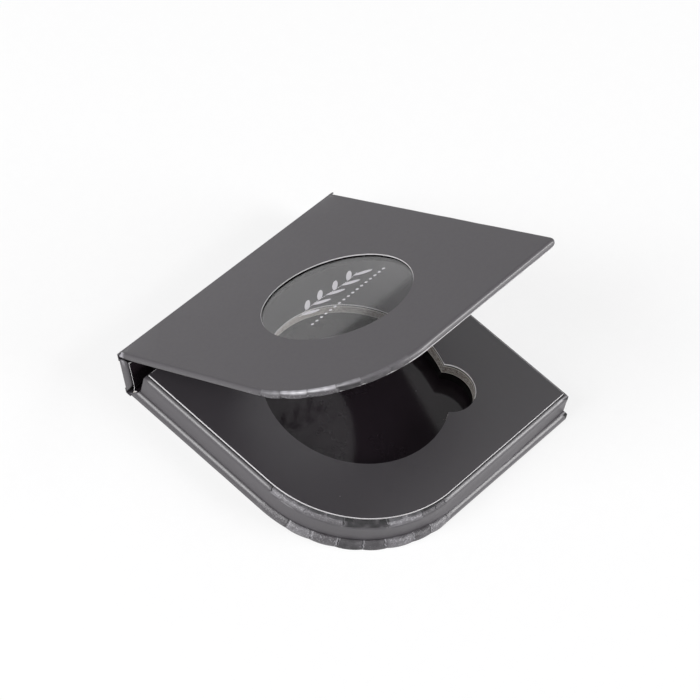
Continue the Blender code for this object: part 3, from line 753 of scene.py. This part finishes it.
class COMPACT_OT_base_paper(bpy.types.Operator):
    """Paper round the base board, gathered round the large corner"""

    bl_idname = "compact.base_paper"
    bl_label = "Base paper"

    def execute(self, context):
        looks = ready(context)
        low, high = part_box("base_wrap")
        rear = CREASE_Y - FOLD_LEG
        bm = slab(low.x, high.x + SPARE, low.y, CREASE_Y + SPARE, BASE_CORNER, 0.0, 0.0,
                  BASE_TOP, 0.25 * MM, looks.case_round)
        cut_end(bm, (high.x, 0, 0), (1, 0, 0), 0.2 * MM)
        cut_lines(bm, 0, [high.x - 0.2 * i * MM for i in range(1, 9)])
        square_up(bm, 1, low.y + looks.case_round, BASE_TOP - looks.case_round, high.x,
                  1.4 * MM, 0.8)
        turn_in(bm, low.x, high.x, low.y, CREASE_Y + 2 * MM, BASE_CORNER, BASE_TOP,
                CASE_TURN_IN)
        cut(bm, (0, CREASE_Y - MITRE_GAP, 0), (0, 1, 1), drop=True)
        cut_lines(bm, 1, [rear])
        drop_faces(bm, lambda spot: spot.z < WELD and spot.y > rear)
        gather(bm, low, BASE_CORNER, BASE_GATHERS, looks.gather_height,
               lambda co: smooth(co.z, 0.0, 0.9 * MM), low,
               (high.x, CREASE_Y, BASE_TOP), 0.17 * MM)
        # Painted shade in the open end of the fold at the front right corner, and a painted
        # highlight along the tongue of folded paper on the base's top edge there.
        mark(bm, "crease", lambda co: smooth(
            0.1 * MM + 0.45 * co.z - (high.x - co.x), 0.0, 0.12 * MM)
            * (co.y < low.y + 0.5 * MM) * (0.1 * MM < co.z < 1.92 * MM))
        mark(bm, "lip", lambda co: band(co.y - low.y, 0.7 * MM, 0.25 * MM)
             * smooth(1.6 * MM - (high.x - co.x), 0.0, 0.3 * MM) * (co.z > MM))
        finish_piece(bm, "base_paper", "base", [WRAP], replaced=["base_wrap"],
                     thickness=SHEET)
        return {"FINISHED"}


class COMPACT_OT_tray_paper(bpy.types.Operator):
    """Paper round the tray's sides and over its upper rim"""

    bl_idname = "compact.tray_paper"
    bl_label = "Tray paper"

    def execute(self, context):
        looks = ready(context)
        low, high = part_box("tray_wrap")
        high.x = CASE_HALF
        bottom = BASE_TOP + HAIR
        bm = slab(low.x, high.x + SPARE, low.y, high.y + SPARE, TRAY_CORNER, 0.0, bottom,
                  TRAY_WRAP_TOP, 0.0, looks.tray_round, loops=9, steps=12)
        cut_end(bm, (0, high.y, 0), (0, 1, 0), 0.15 * MM)
        cut_end(bm, (high.x, 0, 0), (1, 0, 0), 0.15 * MM)
        shoulder = TRAY_WRAP_TOP - looks.tray_round
        cut_lines(bm, 0, [high.x - i * FOLD_RUN for i in range(1, 11)])
        square_up(bm, 1, low.y + looks.tray_round, shoulder, high.x, 2 * MM, 0.7)
        square_up(bm, 0, low.x + looks.tray_round, shoulder, high.y, 1.2 * MM, 0.8)
        # The front paper leans out a little towards its foot
        for vert in bm.verts:
            flare = smooth(4.6 * MM - vert.co.z, 0.0, 2.4 * MM)
            flare *= smooth(vert.co.x, -14 * MM, 0.0) * (1 - 0.8 * smooth(
                vert.co.x, 5 * MM, high.x))
            if vert.co.y < low.y + MM:
                vert.co.y -= 0.55 * MM * flare
        turn_in(bm, low.x, high.x, low.y, high.y - TRAY_TURN_IN, TRAY_CORNER, TRAY_WRAP_TOP,
                TRAY_TURN_IN, 0.2 * MM, 0.25 * MM)
        drop_faces(bm, lambda spot: spot.z < bottom + 0.01 * MM)
        gather(bm, low, TRAY_CORNER, TRAY_GATHERS, looks.gather_height,
               lambda co: smooth(co.z, TRAY_WRAP_TOP - 1.0 * MM, TRAY_WRAP_TOP - 0.1 * MM),
               (low.x - 0.1 * MM, low.y - 0.65 * MM, 0.0), high, 0.05 * MM, wear_and_highlight=0.3)
        # Painted shadow in a dark ring on the flat paper round the card's edge.
        mark(bm, "crease", lambda co: (co.z > TRAY_WRAP_TOP - 0.1 * MM) * smooth(
            inward(co, low, high, TRAY_CORNER), 0.7 * MM, 1.0 * MM))
        ear = 2.5 * MM

        def on_ear(co):
            """Whether a spot lies on the ear of paper folded over the right corner."""
            return high.x - co.x < ear and co.z > shoulder

        # Painted highlight along the ear of paper folded over the right corner, and painted shade
        # in the gaps beside it.
        mark(bm, "lip", lambda co: on_ear(co) * 0.8 * band(
            co.y - low.y - 0.12 * (high.x - co.x), 0.33 * MM, 0.18 * MM))
        mark(bm, "crease", lambda co: on_ear(co) * max(
            band(co.y - low.y, 0.92 * MM, 0.3 * MM) * (high.x - co.x > 0.5 * MM),
            band(co.y - low.y - 0.26 * (high.x - co.x), 0.0, 0.18 * MM)
            * (high.x - co.x < 1.5 * MM)))
        finish_piece(bm, "tray_paper", "base", [WRAP], replaced=["tray_wrap"],
                     thickness=SHEET)
        return {"FINISHED"}


class COMPACT_OT_tray_card(bpy.types.Operator):
    """Dark card on top of the tray, with its pale cut edge, painted brighter round the well as a
    painted highlight, and its adhesive
    """

    bl_idname = "compact.tray_card"
    bl_label = "Tray card"

    def execute(self, context):
        ready(context)
        low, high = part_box("tray_card")
        bm = bmesh.new()
        rim = outline(bm, low.x - CARD_GROWTH, high.x + CARD_GROWTH, low.y - CARD_GROWTH,
                      high.y, CARD_CORNER, 0.2 * MM, CARD_LOW, 160, 20 * MM)
        hole = keyhole(bm, CARD_LOW)
        thicken(bm, fill(bm, rim + hole), CARD_TOP - CARD_LOW, 1, 0.08 * MM)
        curl = (low.x + 0.5 * MM, low.x + 2.0 * MM)
        cut_lines(bm, 0, curl)
        for face in bm.faces:
            spot = face.calc_center_median()
            # The cut edge round the well and notch takes the paler copy of the core: painted
            # highlight.
            if face.material_index and (spot.xy - WELL_CENTRE).length < WELL_RADIUS + NOTCH_RADIUS:
                face.material_index = 2
            elif spot.y > high.y - 0.1 * MM and not curl[0] < spot.x < curl[1]:
                face.material_index = 0
        finish_piece(bm, "tray_top_card", "base", ["top_card_satin", CORE, "cut_core_clean"],
                     replaced=["tray_card"], sharp=20.0)
        bm = bmesh.new()
        bottom = BOARDS_TOP + HAIR
        inner = keyhole(bm, bottom, 0.03 * MM)
        outer = ring(bm, WELL_CENTRE + Vector((1.9 * MM, -1.9 * MM)), 23.5 * MM, bottom)
        thicken(bm, fill(bm, inner + outer), CARD_LOW - bottom - HAIR, 0)
        finish_piece(bm, "card_adhesive", "base", ["adhesive_black"])
        return {"FINISHED"}


class COMPACT_OT_cover_paper(bpy.types.Operator):
    """Paper round the cover board, turned into the window and gathered underneath"""

    bl_idname = "compact.cover_paper"
    bl_label = "Cover paper"

    def execute(self, context):
        looks = ready(context)
        half = COVER_HALF
        low, high = Vector((-half, -COVER_DEPTH, -COVER_CASED)), (half, 2 * MM, 0.0)
        bm = slab(-half, half, -COVER_DEPTH, 2 * MM, COVER_CORNER, COVER_NOSE, -COVER_CASED, 0.0,
                  COVER_UNDER, looks.cover_round, loops=1, steps=10)
        turn_in(bm, -half, half, -COVER_DEPTH, 1.5 * MM, COVER_CORNER, -COVER_CASED,
                CASE_TURN_IN)
        open_face(bm, 0.0, lambda mesh: ring(mesh, WINDOW_CENTRE,
                                             WINDOW_RADIUS + 0.2 * MM, 0.0, 180))
        rim = boundary(bm, 0.0)
        for radius, height in ((WINDOW_RADIUS + 0.08 * MM, 0.0), (WINDOW_RADIUS, -0.2 * MM)):
            rim = draw_in(bm, rim, WINDOW_CENTRE, radius, height)
        cut(bm, (0, -0.1 * MM, 0), (0, 1, 0), drop=True)
        cut_lines(bm, 1, [-UPPER_LEG])
        drop_faces(bm, lambda spot: spot.z > -WELD and spot.y > -UPPER_LEG)
        gather(bm, low, COVER_CORNER, COVER_GATHERS, looks.gather_height,
               lambda co: smooth(-co.z, 0.2 * MM, 1.2 * MM)
               if (co.xy - WINDOW_CENTRE).length > WINDOW_RADIUS + MM else 0.0,
               low, high, 0.16 * MM, wear_and_highlight=0.0, pinch=0.9)
        # Painted highlight on the tip of the cover's left edge near the spine, and painted shade
        # in a band below it.
        mark(bm, "lip", lambda co: 0.9 * (co.x < 0.5 * MM - half) * smooth(
            co.y, -1.6 * MM, -0.9 * MM) * (co.z > -0.9 * MM))
        mark(bm, "crease", lambda co: 0.8 * (co.x < 0.25 * MM - half)
             * band(co.z, -1.0 * MM, 0.25 * MM) * smooth(co.y, -2.4 * MM, -1.2 * MM))
        finish_piece(bm, "cover_paper", "cover", [WRAP, CORE],
                     place=ON_COVER, replaced=["cover_wrap"], thickness=SHEET)
        return {"FINISHED"}


class COMPACT_OT_cover_lining(bpy.types.Operator):
    """Black liner on the cover's inside, with its pale cut edge"""

    bl_idname = "compact.cover_lining"
    bl_label = "Cover liner"

    def execute(self, context):
        ready(context)
        bm = bmesh.new()
        rim = outline(bm, LINER_INSET - COVER_HALF, COVER_HALF - LINER_EDGE,
                      LINER_EDGE - COVER_DEPTH, -SPINE_LINED - LINER_GAP, COVER_CORNER - MM,
                      0.15 * MM, -COVER_LINED, 160, 20 * MM)
        mouth = ring(bm, WINDOW_CENTRE, WINDOW_RADIUS + 0.6 * MM, -COVER_LINED)
        thicken(bm, fill(bm, rim + mouth), SHEET, 1)
        for face in bm.faces:
            if (face.calc_center_median().xy - WINDOW_CENTRE).length < WINDOW_RADIUS + MM:
                face.material_index = 0
        finish_piece(bm, "cover_lining", "cover", [LINING, CORE],
                     place=ON_COVER, replaced=["cover_liner"])
        return {"FINISHED"}


class COMPACT_OT_spine_paper(bpy.types.Operator):
    """Paper round the spine, turned in at both ends, with the liner on its inside"""

    bl_idname = "compact.spine_paper"
    bl_label = "Spine paper and liner"

    def execute(self, context):
        ready(context)
        half = CASE_HALF
        top = SPINE_LENGTH - COVER_CASED - 0.2 * MM
        bm = block((2 * half, SPINE_CASED, top), (0, -SPINE_CASED / 2, top / 2))
        soften(bm, [edge for edge in bm.edges
                    if abs(edge.verts[0].co.z - edge.verts[1].co.z) > MM], 0.35 * MM, 6)
        cut_lines(bm, 2, [FOLD_LEG, *(i * MM for i in range(2, 8))])
        cut_lines(bm, 1, [-0.7 * MM, -1.05 * MM, -1.4 * MM])
        cut(bm, (0, 0, MITRE_GAP), (0, -1, -1), drop=True)
        for i in range(1, 5):
            cut_lines(bm, 0, [half - i * FOLD_RUN, i * FOLD_RUN - half])
        ear = half - 4 * FOLD_RUN
        drop_faces(bm, lambda spot: spot.z > top - WELD and abs(spot.x) < ear)
        drop_faces(bm, lambda spot: spot.y > -0.02 * MM and spot.z < FOLD_LEG)
        # Round ends, and ears of paper that rise beside the cover's round edge
        for vert in bm.verts:
            bulge = 1 - ((-vert.co.y - SPINE_CASED / 2) / (SPINE_CASED / 2)) ** 2
            if abs(vert.co.x) > half - 0.4 * MM:
                vert.co.x -= math.copysign(0.12 * MM * (1 - bulge), vert.co.x)
            under = min(COVER_UNDER, max(0.0, COVER_HALF - abs(vert.co.x)))
            if vert.co.z > top - WELD:
                vert.co.z += 0.8 * (COVER_UNDER - math.sqrt(
                    COVER_UNDER ** 2 - (COVER_UNDER - under) ** 2))
        # The ears' tops are painted paler, and a line of painted shade runs beside them.
        mark(bm, "lip", lambda co: 0.7 * (abs(co.x) > ear) * (co.z > top - WELD)
             * band(co.y, -1.25 * MM, 0.6 * MM))
        mark(bm, "crease", lambda co: 0.7 * (abs(co.x) > ear)
             * (co.z > top - WELD) * band(co.y, -0.5 * MM, 0.4 * MM))
        finish_piece(bm, "spine_paper", "spine", [WRAP], place=ON_SPINE,
                     replaced=["spine_wrap"], thickness=SHEET)

        low, high = MITRE_GAP + SPINE_CASED, SPINE_TOP
        bm = block((2 * (half - SPINE_LINER_INSET), LINER, high - low),
                   (0, -SPINE_LINED + LINER / 2, middle(low, high)))
        bm.normal_update()
        for face in bm.faces:
            face.material_index = 1 if abs(face.normal.x) > 0.5 else 0
        finish_piece(bm, "spine_lining", "spine", [LINING, CORE],
                     place=ON_SPINE, replaced=["spine_liner"])
        return {"FINISHED"}


def spot_on(panel, forward, up):
    """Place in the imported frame, as (y, z), of a place in the spine or the cover."""
    spot = panel @ Vector((0, -forward, up))
    return spot.y, spot.z


def bend(start, start_pull, end_pull, end, steps=10):
    """Points of a smooth bend between two places in the Y-Z plane."""
    knots = [Vector((*point, 0.0)) for point in (start, start_pull, end_pull, end)]
    return [tuple(point.xy) for point in interpolate_bezier(*knots, steps)]


def strip(path, thickness, inset, end_slot=0):
    """Strip of paper along a path in the Y-Z plane, as wide as the case less an inset at
    each end, with its ends in a finish of their own."""
    points = [Vector(point) for point in path]
    left, right = CASE_MIDDLE - CASE_HALF + inset, CASE_MIDDLE + CASE_HALF - inset
    bm = bmesh.new()
    rows = []
    for i, point in enumerate(points):
        run = points[min(i + 1, len(points) - 1)] - points[max(i - 1, 0)]
        side = Vector((-run.y, run.x)).normalized() * thickness / 2
        rows.append((point + side, point - side))
    upper, lower = ([bm.verts.new((left, *row[i])) for row in rows] for i in (0, 1))
    face = bm.faces.new(upper + lower[::-1])
    draw_out(bm, [face], (right - left, 0, 0))
    bm.normal_update()
    for item in bm.faces:
        if abs(item.normal.x) > 0.5:
            item.material_index = end_slot
    return bm


class COMPACT_OT_folds(bpy.types.Operator):
    """Paper and liner that bend where the spine meets the base and the cover"""

    bl_idname = "compact.folds"
    bl_label = "Folds"

    def execute(self, context):
        ready(context)
        sheet, liner = SHEET / 2, LINER / 2
        begin, pull = 0.35 * MM, 0.08 * MM
        lower = [(CREASE_Y - FOLD_LEG + HAIR, sheet),
                 *bend((CREASE_Y - begin, sheet), (CREASE_Y - pull, sheet),
                       spot_on(ON_SPINE, sheet, pull), spot_on(ON_SPINE, sheet, begin)),
                 spot_on(ON_SPINE, sheet, FOLD_LEG - HAIR)]
        lower_ends = ((CREASE_Y - FOLD_LEG, 0.5 * MM), spot_on(ON_SPINE, 0.5 * MM, FOLD_LEG))

        inner, rise = SPINE_LINED - liner, SPINE_CASED + MITRE_GAP
        level, start = BASE_TOP + GLUE + liner, CREASE_Y - MITRE_GAP - BASE_TOP
        pull = 1.4 * MM
        lower_lining = bend((start, level), (start + pull, level - 0.8 * MM),
                            spot_on(ON_SPINE, inner, rise - pull),
                            spot_on(ON_SPINE, inner, rise), 14)

        begin, pull = 0.4 * MM, 0.12 * MM
        upper = [spot_on(ON_SPINE, sheet, SPINE_LENGTH - COVER_CASED - 0.08 * MM),
                 *bend(spot_on(ON_SPINE, sheet, SPINE_LENGTH - begin),
                       spot_on(ON_SPINE, sheet, SPINE_LENGTH - pull),
                       spot_on(ON_COVER, pull, -sheet), spot_on(ON_COVER, begin, -sheet)),
                 spot_on(ON_COVER, UPPER_LEG - HAIR, -sheet)]
        upper_ends = (spot_on(ON_SPINE, 0, SPINE_LENGTH - begin), spot_on(ON_COVER, begin, 0))

        reach, depth, pull = SPINE_LINED + LINER_GAP, liner - COVER_LINED, 0.6 * MM
        lining_ends = (spot_on(ON_SPINE, inner, SPINE_TOP + HAIR),
                       spot_on(ON_COVER, reach - HAIR, depth))
        upper_lining = bend(lining_ends[0], spot_on(ON_SPINE, inner, SPINE_TOP + pull),
                            spot_on(ON_COVER, reach - pull, depth), lining_ends[1], 14)

        for side, bodies, paper, ends, lining, inner_ends in (
                ("lower", ("base", "spine"), lower, lower_ends, lower_lining, lower_ends),
                ("upper", ("spine", "cover"), upper, upper_ends, upper_lining, lining_ends)):
            span, inner_span = ([Vector((0, *spot)) for spot in pair]
                                for pair in (ends, inner_ends))
            finish_piece(strip(paper, SHEET, EAR), side + "_fold_paper", (*bodies, *span),
                         [WRAP], replaced=[side + "_fold_wrap"])
            finish_piece(strip(lining, LINER, SPINE_LINER_INSET, 1), side + "_fold_lining",
                         (*bodies, *inner_span), [LINING, CORE],
                         replaced=[side + "_fold_liner"])
        return {"FINISHED"}


class COMPACT_OT_window(bpy.types.Operator):
    """Clear film under the window, with a silver leaf sprig and a row of dots"""

    bl_idname = "compact.window"
    bl_label = "Window film and print"

    def execute(self, context):
        ready(context)
        bm = bmesh.new()
        rim = ring(bm, WINDOW_CENTRE, WINDOW_RADIUS + FILM_MARGIN, FILM_TOP - FILM, 120)
        thicken(bm, fill(bm, rim), FILM, 0)
        finish_piece(bm, "clear_window", "cover", ["clear_film"], place=ON_COVER,
                     replaced=["window_film"])

        bm = bmesh.new()

        def dot(x, y, steps, shape):
            """Flat shape on the film, at millimetres from the window's centre."""
            bmesh.ops.create_circle(
                bm, cap_ends=True, segments=steps, radius=1.0, matrix=Matrix.Translation(
                    (x * MM, WINDOW_CENTRE.y + y * MM, FILM_TOP + HAIR)) @ shape)

        def sway(step):
            """Gentle wave of the sprig's stem at a leaf."""
            return 2.9 + 0.5 * math.sin(step * 0.7)

        for i in range(9):
            turn = Matrix.Rotation(math.radians(40 if i % 2 else -40), 4, "Z")
            leaf = Matrix.Diagonal((1.9 * MM, 0.55 * MM, 1, 1))
            dot(-7.5 + 1.9 * i, sway(i), 24,
                turn @ Matrix.Translation((1.85 * MM, 0, 0)) @ leaf)
        for i in range(34):
            x = -8.0 + 0.5 * i
            dot(x, sway((x + 7.5) / 1.9), 8, Matrix.Diagonal((0.16 * MM, 0.16 * MM, 1, 1)))
        for i in range(17):
            dot(-9.3 + 1.31 * i, -1.95, 16, Matrix.Diagonal((0.34 * MM, 0.34 * MM, 1, 1)))
        draw_out(bm, bm.faces[:], (0, 0, 0.015 * MM))
        finish_piece(bm, "window_print", "cover", ["silver_print"], place=ON_COVER)
        return {"FINISHED"}


class COMPACT_OT_boards(bpy.types.Operator):
    """Base, tray and cover boards whose rims the tight paper has pressed round"""

    bl_idname = "compact.boards"
    bl_label = "Boards"

    def execute(self, context):
        looks = ready(context)
        wall = SHEET + GLUE

        def punch(bm, low, high, hole):
            """Cuts a hole through a board, with a plain wall."""
            for height in (low, high):
                open_face(bm, height, lambda mesh: hole(mesh, height))
            bmesh.ops.bridge_loops(bm, edges=boundary(bm, low) + boundary(bm, high))

        low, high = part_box("base_board")
        bm = slab(low.x, high.x, low.y, high.y, BASE_CORNER - wall, 0.0, low.z, high.z,
                  0.0, looks.case_round - wall, loops=0, arc_steps=80)
        finish_piece(bm, "base_core", "base", ["raw_greyboard"],
                     replaced=["base_board"])

        low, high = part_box("tray_board_upper")
        bm = slab(low.x, CASE_HALF - wall, low.y, high.y, TRAY_CORNER - wall, 0.0, low.z,
                  high.z, 0.0, looks.tray_round - wall, loops=0, arc_steps=80)
        punch(bm, low.z, high.z, keyhole)
        finish_piece(bm, "tray_core", "base", ["raw_greyboard"],
                     replaced=["tray_board_upper"])

        half = COVER_HALF - wall
        bm = slab(-half, half, wall - COVER_DEPTH, -FOLD_LEG, COVER_CORNER - wall,
                  COVER_NOSE - wall, wall - COVER_CASED, -wall,
                  COVER_UNDER - wall, looks.cover_round - wall, loops=0, arc_steps=80)
        punch(bm, wall - COVER_CASED, -wall,
              lambda mesh, height: ring(mesh, WINDOW_CENTRE, WINDOW_RADIUS, height))
        finish_piece(bm, "cover_core", "cover", ["black_board_raw"],
                     place=ON_COVER, replaced=["cover_board"])
        return {"FINISHED"}


class COMPACT_OT_inner_parts(bpy.types.Operator):
    """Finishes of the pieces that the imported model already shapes"""

    bl_idname = "compact.inner_parts"
    bl_label = "Inner boards, magnets and discs"

    def execute(self, context):
        ready(context)
        finishes = {
            # The spine board takes the black board so that the gaps at the spine's ends show dark:
            # painted shade.
            "spine_board": "black_board_raw", "tray_board_lower": "black_board_raw",
            "base_liner": LINING, "pan_magnet": "magnet_sheet_rubber",
            "closure_magnet_left": "plated_magnet", "closure_magnet_right": "plated_magnet",
            "closure_disc_left": "steel_disc", "closure_disc_right": "steel_disc",
        }
        for name, finish in finishes.items():
            slots = frame["nodes"][name].data.materials
            slots.clear()
            slots.append(bpy.data.materials[finish])
        return {"FINISHED"}


def seen_ray(net):
    """1 for rays from the camera and for what gloss and clear film show, 0 for the rest."""
    path = net.node("LightPath")
    return net.chain(path["Is Camera Ray"], ("ADD", path["Is Glossy Ray"]),
                     ("ADD", path["Is Transmission Ray"], True))


class COMPACT_OT_studio(bpy.types.Operator):
    """White table, pale surroundings, soft lamps and the camera"""

    bl_idname = "compact.studio"
    bl_label = "Studio"

    def execute(self, context):
        scene = context.scene
        scene.view_settings.view_transform = "Standard"
        white = (1.0, 1.0, 1.0, 1.0)

        net, shader = new_material("white_table")
        tone = net.blend(net.noise(net.place(), 320.0, 6.0, 0.7), (0.90, 0.895, 0.91, 1.0),
                         white)
        net.feed(shader, {"Roughness": 0.8, "Specular IOR Level": 0.1, "Base Color": tone})
        lit = net.node("MixShader", {"Fac": net.chain(seen_ray(net), ("MULTIPLY", 0.75)),
                                     1: shader.outputs["BSDF"],
                                     2: net.node("Emission")["Emission"]})
        net.feed(net.nodes["Material Output"], {"Surface": lit["Shader"]})
        bm = bmesh.new()
        bmesh.ops.create_grid(bm, x_segments=1, y_segments=1, size=3.0,
                              matrix=Matrix.Translation((0, 0, -HAIR)))
        mesh = bpy.data.meshes.new("table_top")
        bm.to_mesh(mesh)
        bm.free()
        mesh.materials.append(bpy.data.materials["white_table"])
        table = bpy.data.objects.new("table_top", mesh)
        scene.collection.objects.link(table)

        scene.world = bpy.data.worlds.new("pale_room")
        scene.world.use_nodes = True
        net = Net(scene.world.node_tree)
        height = net.node("SeparateXYZ", {0: net.node("TexCoord")["Generated"]})["Z"]
        rise = net.node("MapRange", {"Value": height, "From Max": 0.8, "To Min": 0.28,
                                     "To Max": 0.8}, interpolation_type="SMOOTHSTEP")
        glow = net.blend(seen_ray(net), 0.22, rise["Result"], "FLOAT")
        camera_ray = net.node("LightPath")["Is Camera Ray"]
        net.feed(net.nodes["Background"], {"Color": white, "Strength": net.chain(
            glow, ("MAXIMUM", camera_ray))})

        for name, spot in (("lamp_left", (-0.755, 0.285, 0.59)),
                           ("lamp_front", (0.54, -0.72, 0.44))):
            data = bpy.data.lights.new(name, "AREA")
            data.shape = "SQUARE"
            data.size = 0.6
            data.energy = 10.5
            lamp = bpy.data.objects.new(name, data)
            lamp.location = Vector(spot) * 1.1
            lamp.rotation_euler = (-Vector(spot)).to_track_quat("-Z", "Y").to_euler()
            scene.collection.objects.link(lamp)

        # Camera solved from the outline of base, tray, spine and cover
        data = bpy.data.cameras.new("camera")
        data.sensor_width = 36.0
        data.lens = 153.142
        data.clip_start, data.clip_end = 0.01, 10.0
        camera = bpy.data.objects.new("camera", data)
        turn = Matrix(((0.658929, 0.526997, -0.536737), (-0.729352, 0.622172, -0.284513),
                       (0.184005, 0.578944, 0.794333)))
        spot = Matrix.Translation((-0.3153, -0.163452, 0.482024))
        camera.matrix_world = spot @ turn.to_4x4()
        scene.collection.objects.link(camera)
        scene.camera = camera
        return {"FINISHED"}


OPERATORS = (COMPACT_OT_base_paper, COMPACT_OT_tray_paper, COMPACT_OT_tray_card,
             COMPACT_OT_cover_paper, COMPACT_OT_cover_lining, COMPACT_OT_spine_paper,
             COMPACT_OT_folds, COMPACT_OT_window, COMPACT_OT_boards,
             COMPACT_OT_inner_parts, COMPACT_OT_studio)


class COMPACT_PT_panel(bpy.types.Panel):
    """Lists the pieces of the compact"""

    bl_label = "Makeup compact"
    bl_space_type = "VIEW_3D"
    bl_region_type = "UI"
    bl_category = "Compact"

    def draw(self, context):
        looks = context.scene.compact_looks
        for name in looks.bl_rna.properties.keys():
            if name not in {"rna_type", "name"}:
                self.layout.prop(looks, name)
        for operator in OPERATORS:
            self.layout.operator(operator.bl_idname)


CLASSES = (CompactSettings, *OPERATORS, COMPACT_PT_panel)


def register():
    for item in CLASSES:
        bpy.utils.register_class(item)
    bpy.types.Scene.compact_looks = bpy.props.PointerProperty(type=CompactSettings)


def unregister():
    del bpy.types.Scene.compact_looks
    for item in reversed(CLASSES):
        bpy.utils.unregister_class(item)


def main():
    register()
    for operator in OPERATORS:
        group, name = operator.bl_idname.split(".")
        getattr(getattr(bpy.ops, group), name)()


if __name__ == "__main__":
    main()
